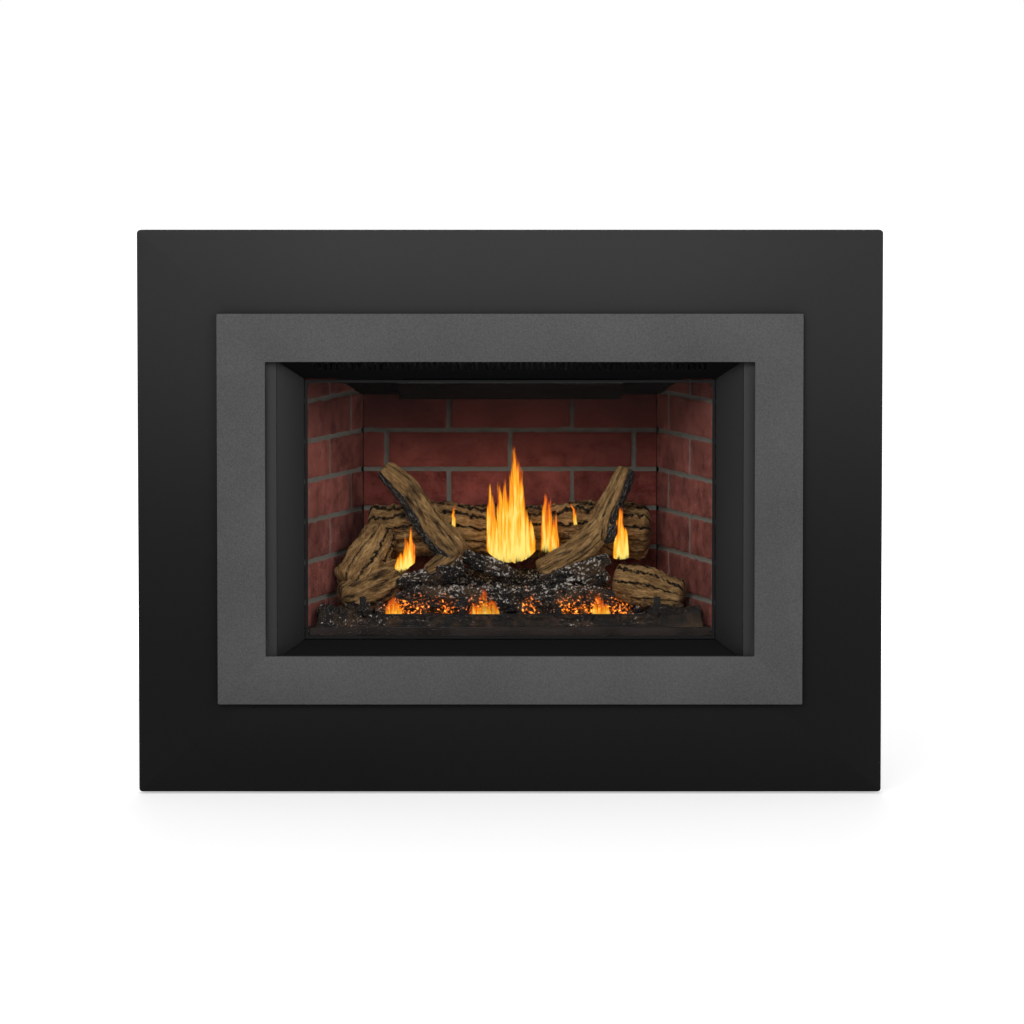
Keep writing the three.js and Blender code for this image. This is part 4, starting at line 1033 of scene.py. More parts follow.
@dataclass
class Studio:
    """The camera, the pale floor and backdrop, and soft lights."""

    distance: float = 6.9
    height: float = 1.059
    aim_height: float = 0.427
    aim_side: float = 0.003
    frame_width: float = 1.531
    sensor: float = 36.0
    shift: float = -0.15
    ambient: float = 0.28
    floor_half: float = 30.0
    floor_height: float = -0.0004
    lamps: tuple[SoftBox, ...] = (
        SoftBox("key", (-1.2, -3.6, 2.9), (0.0, 0.0, 0.45), (2.6, 2.0), 86.0),
        SoftBox("fill", (2.8, -2.6, 1.6), (0.0, 0.0, 0.45), (2.0, 2.0), 34.4),
        SoftBox("rear", (0.0, 3.4, 2.6), (0.0, 0.2, 0.5), (2.6, 2.0), 60.2),
    )
    def camera(self) -> None:
        """Sets the camera at the photograph's viewing angle."""
        lens = self.sensor * self.distance / self.frame_width
        drop = math.atan2(self.height - self.aim_height, self.distance)
        pitch = drop - math.atan(-self.shift * self.sensor / lens)
        data = bpy.data.cameras.new("camera")
        data.lens, data.sensor_width = lens, self.sensor
        data.shift_y = self.shift
        data.clip_end = 60.0
        made = bpy.data.objects.new("camera", data)
        made.location = (self.aim_side, FRONT_PLANE - self.distance, self.height)
        made.rotation_euler = (math.pi / 2 - pitch, 0.0, 0.0)
        bpy.context.scene.collection.objects.link(made)
        bpy.context.scene.camera = made

    def floor(self) -> None:
        """Lays the pale floor, which keeps the object's shadow."""
        paint = Paint("floor_pale")
        away = paint.node("ShaderNodeVectorMath", {"operation": "LENGTH"}, {0: paint.place()}, "Value")
        level = away.ease(0.9, 2.4, 0.48, 1.0) * paint.straight_look()
        paint.finish(
            Base_Color=(0.8, 0.8, 0.8),
            Roughness=0.9,
            Emission_Color=paint.blend(level, (0.0, 0.0, 0.0), (1.0, 1.0, 1.0)),
            Emission_Strength=1.0,
        )
        half = self.floor_half
        corners = [(-half, -half), (half, -half), (half, half), (-half, half)]
        mesh = bpy.data.meshes.new("floor")
        mesh.from_pydata([(x, y, self.floor_height) for x, y in corners], [], [(0, 1, 2, 3)])
        object_of("floor", mesh, paint.material)

    def world(self) -> None:
        """Sets a white background and a weaker soft light all round."""
        made = bpy.data.worlds.new("studio")
        made.use_nodes = True
        graph = Graph(made.node_tree)
        strength = graph.straight_look() * (1.0 - self.ambient) + self.ambient
        light = {"Color": (1.0, 1.0, 1.0, 1.0), "Strength": strength}
        background = graph.node("ShaderNodeBackground", None, light)
        graph.node("ShaderNodeOutputWorld", None, {"Surface": background})
        bpy.context.scene.world = made

    def build(self) -> None:
        """Builds the studio."""
        bpy.context.scene.view_settings.view_transform = "Standard"
        self.camera()
        self.floor()
        self.world()
        for lamp in self.lamps:
            lamp.build()


@dataclass
class Enclosure(Assembly):
    """The surround, the pull-off front frame, the trims, the bezel and the glass door."""

    def finishes(self) -> dict[str, Material]:
        """The enclosure's own finishes."""
        fine = (1100.0, 0.00006)
        return {
            # the surround's coat carries painted light, paler at the top middle
            "surround": PaintedLightCoat("coat_surround", shade(52, 52, 53), shade(5, 5, 6)).make(),
            "front": PowderCoat("coat_front", shade(83, 83, 84), 0.6, 420.0, 0.0003, 0.5).make(),
            "trim": PowderCoat("coat_trim", shade(52, 52, 53), 0.5).make(),
            # bezel, dim and shadowed are one black coat; dim and shadowed are darker copies of it as painted
            # shade
            "bezel": PowderCoat("coat_bezel", shade(32, 32, 33), 0.45, *fine).make(),
            "dim": PowderCoat("coat_bezel_dim", shade(14, 14, 15), 0.6, *fine, sheen=0.08).make(),
            "shadowed": PowderCoat("coat_bezel_dark", shade(5, 5, 6), 0.7, *fine, sheen=0.06).make(),
            "door": HotPaint("paint_door", shade(22, 22, 23)).make(),
            "glass": CeramicGlass("glass_clear").make(),
        }

    def build(self) -> None:
        """Builds the enclosure."""
        coats = self.finishes()
        pieces = (
            ("surround_panel", "surround", "surround_black", 0.0005),
            ("front_frame", "front", "front_charcoal", 0.0005),
            ("side_trim_left", "trim", "trim_black", 0.0003),
            ("side_trim_right", "trim", "trim_black", 0.0003),
            ("face_header", "bezel", "casing_black", 0.0003),
            ("bezel_left", "bezel", "bezel_black", 0.0003),
            ("bezel_right", "bezel", "bezel_black", 0.0003),
            # the bottom and top bezels take the darker copies of the bezel coat as painted shade
            ("bezel_bottom", "dim", "bezel_black", 0.0003),
            ("bezel_top", "shadowed", "bezel_black", 0.0003),
            ("door_frame", "door", "door_black", 0.0004),
        )
        for node, coat, slot, bevel in pieces:
            self.soften(node, coats[coat], slot, bevel)
        self.dress("door_glass", coats["glass"], "glass")
        for side in ("left", "right"):
            for part in ("hinge_bracket_", "door_clip_"):
                self.soften(part + side, coats["door"], "spring_steel", 0.0003)


@dataclass
class BrickWall:
    """One wall of the liner as a finely modelled panel.

    start is where its face begins on the floor, along its direction and out the way away from the fire.
    """

    start: tuple[float, float]
    along: tuple[float, float]
    out: tuple[float, float]
    length: float
    odd_joints: Sequence[float]
    even_joints: Sequence[float]
    seed: float
    bottom: float = 0.2463
    ceiling: float = 0.6237
    slope_from: float = deep(0.155)
    slope: float = 0.046 / 0.167
    first_course: float = 0.223
    course: float = 0.0611
    joint: float = 0.007
    relief: float = 0.003
    rounding: float = 0.0022
    wander: float = 0.0012
    chip: float = 0.0011
    grain: float = 0.0006
    panel: float = 0.0205
    step: float = 0.0025

    def top_at(self, y: float) -> float:
        """The height of the ceiling over a point."""
        return self.ceiling - self.slope * max(0.0, y - self.slope_from)

    def joint_at(self, s: float, z: float) -> tuple[float, float]:
        """How far a point is from its brick's edge, and a number for that brick.

        Args:
            s: The place along the wall.
            z: The height.

        Returns:
            The distance into the brick, below zero in a joint, and the brick's tone of 0 to 1.
        """
        course = math.floor((z - self.first_course) / self.course)
        lower = z - self.first_course - course * self.course
        away = min(lower, self.course - lower)
        joints = self.odd_joints if course % 2 else self.even_joints
        brick = sum(s > place for place in joints)
        away = min([away, *[abs(s - place) for place in joints]])
        tone = math.sin(course * 12.9898 + brick * 78.233 + self.seed) * 43758.5453
        return away - self.joint / 2, tone - math.floor(tone)

    def build(self, name: str) -> Mesh:
        """Makes the panel's mesh, with joint and tone on its points."""
        columns = int(self.length / self.step) + 1
        rows = int((self.ceiling - self.bottom) / self.step) + 1
        (out_x, out_y), plan, points, joints, tones = self.out, [], [], [], []
        for index in range(rows * columns):
            row, column = divmod(index, columns)
            s = self.length * column / (columns - 1)
            x, y = self.start[0] + self.along[0] * s, self.start[1] + self.along[1] * s
            z = self.bottom + (self.top_at(y) - self.bottom) * row / (rows - 1)
            wander = self.wander * fractal((s, z, self.seed), 55.0, 3)
            away, tone = self.joint_at(s + wander, z + wander)
            chip = self.chip * max(0.0, fractal((s, z, 3.0), 120.0, 3, self.seed))
            face = soft_step((away - chip) / self.rounding + 0.5)
            rough = self.grain * fractal((s, z, 0.0), 90.0, 4, self.seed)
            sink = self.relief * (1 - face) + self.grain * (0.5 - tone) + abs(rough) * (0.6 + face)
            sink = max(0.0, sink)
            plan.append((x, y))
            points.append((x + out_x * sink, y + out_y * sink, z))
            joints.append(1 - face)
            tones.append(tone)
        rim = rim_of(rows, columns)
        backs = range(len(points), len(points) + len(rim))
        thick_x, thick_y = out_x * self.panel, out_y * self.panel
        points += [(plan[i][0] + thick_x, plan[i][1] + thick_y, points[i][2]) for i in rim]
        faces = grid_faces(rows, columns) + wall_faces(rim, backs) + [tuple(backs)]
        mesh = mesh_of(name, points, faces)
        mesh.set_sharp_from_angle(angle=math.radians(60))
        give(mesh, "joint", joints + [1.0] * len(rim))
        give(mesh, "tone", tones + [0.5] * len(rim))
        return mesh


@dataclass
class BrickLiner(Assembly):
    """Three moulded brick panels and the steel shell behind them."""

    half_front: float = 0.308
    half_back: float = 0.229
    front_depth: float = 0.0553
    back_depth: float = 0.2972
    side_length: float = 0.25456
    slant: tuple[float, float] = (0.3103, 0.9507)
    side_gap: float = 0.0004
    back_gap: float = 0.0003
    side_odd: tuple[float, ...] = (0.010, 0.203)
    side_even: tuple[float, ...] = (0.108,)
    brick: float = 0.193
    lip: tuple[float, float] = (0.6101, 0.6141)

    def build(self) -> None:
        """Builds the liner and dresses its shell."""
        joint = shade(136, 136, 126)
        face = BrickFace("brick_side", shade(92, 48, 43), shade(176, 104, 92), joint).make()
        # the rear wall darkens more towards the top, as soot and painted shade
        sooted_and_shaded = {"soot_and_shade_from": 0.42, "soot_and_shade_to": 0.60, "soot_and_shade_most": 0.82}
        rear_face = BrickFace("brick_rear", shade(98, 42, 36), shade(178, 92, 80), joint, **sooted_and_shaded).make()
        middle, half = self.half_back, self.brick / 2
        walls = {"back": BrickWall(
            start=(-middle + self.back_gap, deep(self.back_depth)),
            along=(1.0, 0.0),
            out=(0.0, 1.0),
            length=2 * (middle - self.back_gap),
            odd_joints=(middle - half, middle + half),
            even_joints=(middle - self.brick, middle, middle + self.brick),
            seed=9.0,
        )}
        for side, sign in (("left", -1), ("right", 1)):
            walls[side] = BrickWall(
                start=(sign * (self.half_front + self.side_gap), deep(self.front_depth)),
                along=(-sign * self.slant[0], self.slant[1]),
                out=(sign * self.slant[1], self.slant[0]),
                length=self.side_length - 2 * self.side_gap,
                odd_joints=self.side_odd,
                even_joints=self.side_even,
                seed=3.0 + sign,
            )
        for side in ("left", "right", "back"):
            node = "brick_" + side
            mesh, finish = walls[side].build(node + "_moulded"), rear_face if side == "back" else face
            self.add(node + "_moulded", mesh, self.body_of(node), "brick", finish, [node])
        steel = HotPaint("paint_firebox", shade(8, 7, 7)).make()
        brown = HotPaint("paint_hearth", shade(46, 39, 36), shade(24, 19, 17)).make()
        for node in ("firebox_left", "firebox_right", "firebox_back", "firebox_top"):
            self.soften(node, steel, "firebox_steel", 0.0003)
        self.soften("firebox_floor", brown, "hearth_brown", 0.0003)
        self.soften("flue_baffle", steel, "firebox_steel", 0.0003)
        # a pale strip on the dark baffle's front lip, as a painted highlight
        edge = PowderCoat("coat_baffle_edge", shade(96, 95, 94), 0.5).make()
        low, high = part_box("flue_baffle")
        proud, inside = 0.0002, 0.0004
        corners = (low[0], low[1] - proud, self.lip[0]), (high[0], low[1] + inside, self.lip[1])
        self.add("baffle_edge", box_mesh("baffle_edge", *corners), "cabinet", "firebox_steel", edge)


FIRE_FRONT, FIRE_DEPTH, FIRE_FLOOR = 0.055, 0.242, 0.246


def fire_point(x: float, share: float, height: float, radius: float) -> tuple[float, float, float, float]:
    """A knot of a log's line.

    Args:
        x: Its place across the firebox, in millimetres.
        share: Its depth as a share of the brick-lined depth.
        height: Its height over the firebox floor, in millimetres.
        radius: The log's radius there, in millimetres.

    Returns:
        The place and the radius in metres.
    """
    return x * MM, deep(FIRE_FRONT + share * FIRE_DEPTH), FIRE_FLOOR + height * MM, radius * MM


@dataclass(frozen=True)
class Limb:
    """A branch of a cast log: a rough tube along a line.

    bark is how deep the furrows go and swell how uneven the girth is, as shares of the radius. plates is
    the number of bark layers round it. The bark is black under char_below, as char, and on one chosen side,
    partly as char and partly as painted shade.
    """

    knots: Sequence[tuple[float, float, float, float]]
    seed: float
    bark: float = 0.26
    swell: float = 0.16
    rings: int = 120
    sides: int = 84
    char_below: float = 0.0
    knobbly: float = 0.0
    plates: int = 0
    char_and_shade_side: Point = (0.0, 0.0, 0.0)

    def shape_at(self, inner: Point, turn: float) -> tuple[float, float]:
        """The bark's relief at a place.

        Args:
            inner: The straightened place: along the log and round it.
            turn: The angle round the log, in radians.

        Returns:
            The reach as a share of the radius, and how deep in a crevice the place is, from 0 to 1.
        """
        ridge = ridged(inner, (13.0, 62.0, 62.0), self.seed)
        broad = fractal(inner, 17.0, 3, self.seed)
        fine = fractal(inner, 150.0, 3, self.seed + 9.0)
        crag = fractal(inner, 60.0, 3, self.seed + 4) * self.knobbly
        reach = 1.08 - self.bark * (1 - ridge) + self.swell * broad + crag + 0.07 * fine
        crevice = ((1 - ridge) * 1.5 - 0.25) * min(1.0, self.bark / 0.24)
        if self.plates:
            drift = 0.7 * fractal(inner, 8.0, 2, self.seed)
            layer = turn / (2 * math.pi) * self.plates + drift + 0.15 * fine
            share = layer - math.floor(layer)
            reach += 0.16 * share**0.6 - 0.07
            crevice = max(0.35 * crevice, 1.0 - min(share, 1.0 - share) / 0.16)
        return reach, min(1.0, max(0.0, crevice))

    def build(self) -> tuple[np.ndarray, list, dict[str, list]]:
        """Makes the points, faces and attributes of the branch."""
        line = smooth_line([fire_point(*k) for k in self.knots], self.rings)
        centres, radii = line[:, :3], line[:, 3]
        steps = np.gradient(centres, axis=0)
        tangents = steps / np.linalg.norm(steps, axis=1)[:, None]
        lengths = np.concatenate([[0.0], np.cumsum(np.linalg.norm(np.diff(centres, axis=0), axis=1))])
        normal = np.cross(tangents[0], (0.0, 0.3, 1.0))
        points, store = [], {"grain": [], "crevice": [], "char": []}
        for i, (centre, tangent) in enumerate(zip(centres, tangents)):
            normal = normal - tangent * np.dot(normal, tangent)
            normal /= np.linalg.norm(normal)
            binormal = np.cross(tangent, normal)
            from_end = min(lengths[i], lengths[-1] - lengths[i])
            cap = math.sqrt(max(0.0, 1 - max(0.0, 1 - from_end / (0.34 * radii[i])) ** 2))
            for k in range(self.sides):
                turn = 2 * math.pi * k / self.sides
                across, up = math.cos(turn), math.sin(turn)
                inner = (lengths[i], across * 0.03, up * 0.03)
                reach, crevice = self.shape_at(inner, turn)
                reach *= (0.25 + 0.75 * cap) * (1 + 0.1 * (1 - cap) * fractal(inner, 140.0, 2, 7.0))
                way = normal * across + binormal * up
                place = centre + radii[i] * reach * way
                low = (self.char_below - place[2]) / 0.03 + 0.5 if self.char_below else 0.0
                # black under char_below as char, and on one chosen side partly char and partly painted shade
                char_and_shade = max(low, (float(np.dot(way, self.char_and_shade_side)) - 0.45) / 0.3)
                points.append(place)
                store["grain"].append(inner)
                store["crevice"].append(crevice)
                store["char"].append(min(1.0, max(0.0, char_and_shade)))
        faces = grid_faces(self.rings, self.sides, closed=True)
        for row, way in ((0, -1), (self.rings - 1, 1)):
            faces += fan_faces(row, self.sides, len(points))
            points.append(centres[row] + tangents[row] * way * 0.04 * radii[row])
            for values in store.values():
                values.append(values[row * self.sides])
        return np.array(points), faces, store


def limbs_mesh(name: str, limbs: Sequence[Limb]) -> Mesh:
    """A log made of one or more branches that run into each other."""
    points, faces = [], []
    store: dict[str, list] = {"grain": [], "crevice": [], "char": []}
    for limb in limbs:
        own, own_faces, own_store = limb.build()
        first = len(points)
        points.extend(own)
        faces.extend(tuple(first + i for i in face) for face in own_faces)
        for key in store:
            store[key].extend(own_store[key])
    mesh = mesh_of(name, points, faces)
    for key, values in store.items():
        give(mesh, key, np.array(values))
    return mesh


@dataclass
class LogSet(Assembly):
    """Six cast logs: one across the back, two at the sides, two forked ones and a charred one in front."""

    def logs(self) -> dict[str, list[Limb]]:
        """The branches of each log."""
        rear = [(-222, 0.8, 128, 40), (-110, 0.81, 131, 42), (0, 0.81, 126, 40), (110, 0.81, 131, 42)]
        left_low = [(-258, 0.33, 34, 22), (-208, 0.42, 52, 33), (-164, 0.52, 68, 27)]
        left_high = [(-196, 0.66, 130, 24), (-218, 0.52, 92, 31), (-248, 0.40, 52, 31)]
        right = [(160, 0.44, 62, 25), (212, 0.38, 52, 31), (266, 0.3, 40, 20)]
        left_fork = [(-196, 0.6, 231, 15), (-158, 0.56, 196, 20), (-130, 0.5, 156, 23)]
        left_twig = [(-82, 0.42, 108, 15), (-104, 0.38, 86, 18), (-128, 0.35, 74, 12)]
        right_fork = [(180, 0.6, 231, 14), (164, 0.56, 190, 19), (146, 0.52, 150, 22), (140, 0.48, 118, 19)]
        right_twig = [(152, 0.51, 152, 19), (104, 0.46, 108, 19), (44, 0.38, 78, 14)]
        return {
            "rear_log": [
                Limb(
                    rear + [(219, 0.8, 126, 40)], 1.0,
                    bark=0.24, swell=0.12, rings=230, sides=170, char_below=0.322, plates=12,
                )
            ],
            "left_front_log": [
                Limb(left_low, 2.0, bark=0.17, char_below=0.255, sides=110),
                Limb(left_high, 2.6, bark=0.2, sides=110, plates=9),
            ],
            "right_front_log": [Limb(right, 3.0, bark=0.2, char_below=0.255, sides=110, plates=9)],
            "left_forked_log": [
                # the forked logs are darkened on one side, partly char and partly painted shade
                Limb(
                    left_fork + [(-102, 0.44, 122, 25), (-78, 0.39, 98, 19)], 4.0,
                    bark=0.16, rings=190, sides=110, char_below=0.318, char_and_shade_side=(-0.85, -0.2, -0.5),
                ),
                Limb(left_twig, 4.6, bark=0.17),
            ],
            "right_forked_log": [
                Limb(
                    right_fork, 5.0,
                    bark=0.17, rings=150, sides=110, char_below=0.352, char_and_shade_side=(0.95, -0.3, 0.0),
                ),
                Limb(right_twig, 5.7, bark=0.16, rings=150, sides=110),
            ],
        }

    def charred(self) -> dict[str, list[Limb]]:
        """The charred log in front and the small burnt sticks behind it."""
        front = [(-176, 0.25, 34, 13), (-92, 0.24, 40, 18), (0, 0.25, 36, 20)]
        front += [(92, 0.24, 42, 19), (160, 0.25, 36, 13)]
        log_look = {"bark": 0.35, "swell": 0.3, "rings": 210, "sides": 84, "knobbly": 0.45}
        return {
            "front_char_log_cast": [Limb(front, 6.0, **log_look)],
            "char_sticks": [
                Limb([(-174, 0.35, 58, 10), (-116, 0.34, 70, 14), (-70, 0.33, 84, 11)], 8.0, knobbly=0.5),
                Limb([(-74, 0.44, 100, 9), (-38, 0.41, 86, 13), (6, 0.37, 70, 12)], 8.6, knobbly=0.5),
                Limb([(46, 0.36, 60, 12), (104, 0.38, 72, 15), (152, 0.42, 96, 9)], 9.2, knobbly=0.5),
                Limb(
                    [(112, 0.34, 54, 12), (134, 0.36, 66, 13), (150, 0.38, 74, 9)],
                    9.8, knobbly=0.6, rings=60,
                ),
            ],
        }

    def build(self) -> None:
        """Builds the logs."""
        bark = Bark("bark_cast", shade(72, 50, 28), shade(134, 101, 60), shade(184, 148, 98)).make()
        for node, limbs in self.logs().items():
            name = node + "_cast"
            self.add(name, limbs_mesh(name, limbs), self.body_of(node), "log_bark", bark, [node])
        char = Char("char_wood", ash_amount=0.32).make()
        for name, limbs in self.charred().items():
            mesh = limbs_mesh(name, limbs)
            give(mesh, "hotness", hot_spots(places_of(mesh)))
            stands_for = ["front_char_log"] if name == "front_char_log_cast" else []
            self.add(name, mesh, "cabinet", "charcoal", char, stands_for)


# Where the burner is hot: a place across it and how far the heat reaches.
HOT_PLACES = (
    (-0.178, 0.022), (-0.142, 0.020), (-0.098, 0.018), (-0.045, 0.028),
    (0.030, 0.016), (0.085, 0.020), (0.122, 0.026), (0.168, 0.024),
)


def hot_spots(places: np.ndarray, top: float = 0.308, fade: float = 0.034) -> np.ndarray:
    """The heat of 0 to 1 at some places: high along the burner's hot stretches and low on the tops."""
    along = sum(np.exp(-(((places[:, 0] - x) / width) ** 2)) for x, width in HOT_PLACES)
    low = np.clip((top - places[:, 2]) / fade, 0.0, 1.0)
    return np.clip(along, 0.0, 1.0) * low


def heap_mesh(
    name: str, half: float, front: float, rear: float, bottom: float,
    height_at: Callable[[float, float], float], step: float,
) -> Mesh:
    """A closed bed with a rough top.

    Args:
        name: The mesh's name.
        half: Half its width.
        front: The y of its front edge.
        rear: The y of its rear edge.
        bottom: The height of its flat underside.
        height_at: The height of its top at a place.
        step: The grid's spacing.

    Returns:
        The mesh.
    """
    columns, rows = int(2 * half / step) + 1, max(4, int((rear - front) / step) + 1)
    points = []
    for row in range(rows):
        for column in range(columns):
            x = -half + 2 * half * column / (columns - 1)
            y = front + (rear - front) * row / (rows - 1)
            edge = min(column, columns - 1 - column, row, rows - 1 - row)
            points.append((x, y, bottom + 0.001 + (height_at(x, y) - bottom) * min(1.0, edge / 2)))
    rim = rim_of(rows, columns)
    floor = range(len(points), len(points) + len(rim))
    points += [(points[i][0], points[i][1], bottom) for i in rim]
    return mesh_of(name, points, grid_faces(rows, columns) + wall_faces(rim, floor) + [tuple(floor)])


def field_mesh(
    name: str, half: float, front: float, run: float, columns: int, rows: int,
    height_at: Callable[[float, float], float],
) -> Mesh:
    """An open sheet that lumps are strewn over.

    Args:
        name: The mesh's name.
        half: Half its width.
        front: The y of its front edge.
        run: How far it goes back from there.
        columns: Points across it.
        rows: Points from front to rear.
        height_at: Its height at a place.

    Returns:
        The mesh.
    """
    across = [half * (2 * column / (columns - 1) - 1) for column in range(columns)]
    plan = [(x, front + run * row / (rows - 1)) for row in range(rows) for x in across]
    mesh = bpy.data.meshes.new(name)
    mesh.from_pydata([(x, y, height_at(x, y)) for x, y in plan], [], grid_faces(rows, columns))
    return mesh


def lump_shape(name: str, seed: float, detail: int = 3) -> Object:
    """A craggy lump about one metre across, for a pattern to copy."""
    work = bmesh.new()
    bmesh.ops.create_icosphere(work, subdivisions=detail, radius=0.5)
    for vert in work.verts:
        way = vert.co.normalized()
        crag = fractal(way, 1.3, 4, seed)
        split = abs(noise.noise(way * 2.3 + Vector((seed, 0, 0))))
        vert.co = way * (0.46 + 0.26 * crag - 0.2 * max(0.0, 0.25 - split))
    mesh = bpy.data.meshes.new(name)
    work.to_mesh(mesh)
    work.free()
    return hidden_shape(name, mesh)


class Blaze(Enum):
    """The kinds of gas flame, with how dense each one's look is."""

    TALL = 1.0
    MIDDLE = 0.7
    LOW = 0.45


@dataclass(frozen=True)
class Flame:
    """One flame: a thin closed sheet whose top edge is drawn by several tongues.

    A tongue is its place across, half its width and the height of its tip. foot is how far the sides of
    the root stand over its middle, and slope how much the root rises from left to right.
    """

    depth: float
    low: float
    tongues: Sequence[tuple[float, float, float]]
    lean: float = 0.0
    foot: float = 0.010
    slope: float = 0.0
    kind: Blaze = Blaze.TALL

    def top_at(self, x: float, low: float) -> float:
        """The height of the flame's edge over a place."""
        best = low
        for centre, half, tip in self.tongues:
            share = 1.0 - abs(x - centre) / half
            if share > 0:
                best = max(best, low + (tip - low) * math.sin(0.5 * math.pi * share) ** 0.75)
        return best

    def build(self, name: str, seed: int) -> Mesh:
        """Makes the flame's mesh, with rise and rim on its points."""
        left = min(centre - half for centre, half, _ in self.tongues)
        right = max(centre + half for centre, half, _ in self.tongues)
        peak = max(tip for _, _, tip in self.tongues)
        columns, rows = max(20, int((right - left) / 0.0007)), 40
        points, rises, rims = [], [], []
        for side in (-1, 1):
            for column in range(columns):
                u = 2 * column / (columns - 1) - 1
                x = left + (right - left) * (u + 1) / 2
                low = self.low + self.foot * abs(u) ** 2.2 + self.slope * u
                low += 0.003 * noise.noise(Vector((x * 180.0, seed, 0.0)))
                top = max(low + 0.001, self.top_at(x, low))
                top += 0.10 * (top - low) * noise.noise(Vector((x * 260.0, seed, 5.0)))
                for row in range(rows):
                    t = row / (rows - 1)
                    z = low + (top - low) * t
                    rise = max(0.0, (z - self.low) / (peak - self.low))
                    sway = 0.0016 * math.sin(9.0 * rise + seed) + 0.0012 * math.sin(23.0 * rise + 2.0 * seed)
                    thick = 0.0005 + 0.006 * math.sqrt(max(0.0, (1 - u * u) * t * (1 - t)))
                    x_here = x + self.lean * rise**1.6 + sway * rise
                    points.append((x_here, deep(self.depth) + side * thick, z))
                    rises.append(rise)
                    rims.append(max(t**1.5, abs(u) ** 5))
        front, count = grid_faces(columns, rows), columns * rows
        edge = rim_of(columns, rows)
        faces = front + [tuple(i + count for i in face) for face in front]
        faces += wall_faces(edge, [index + count for index in edge])
        mesh = mesh_of(name, points, faces)
        give(mesh, "rise", rises)
        give(mesh, "rim", rims)
        return mesh


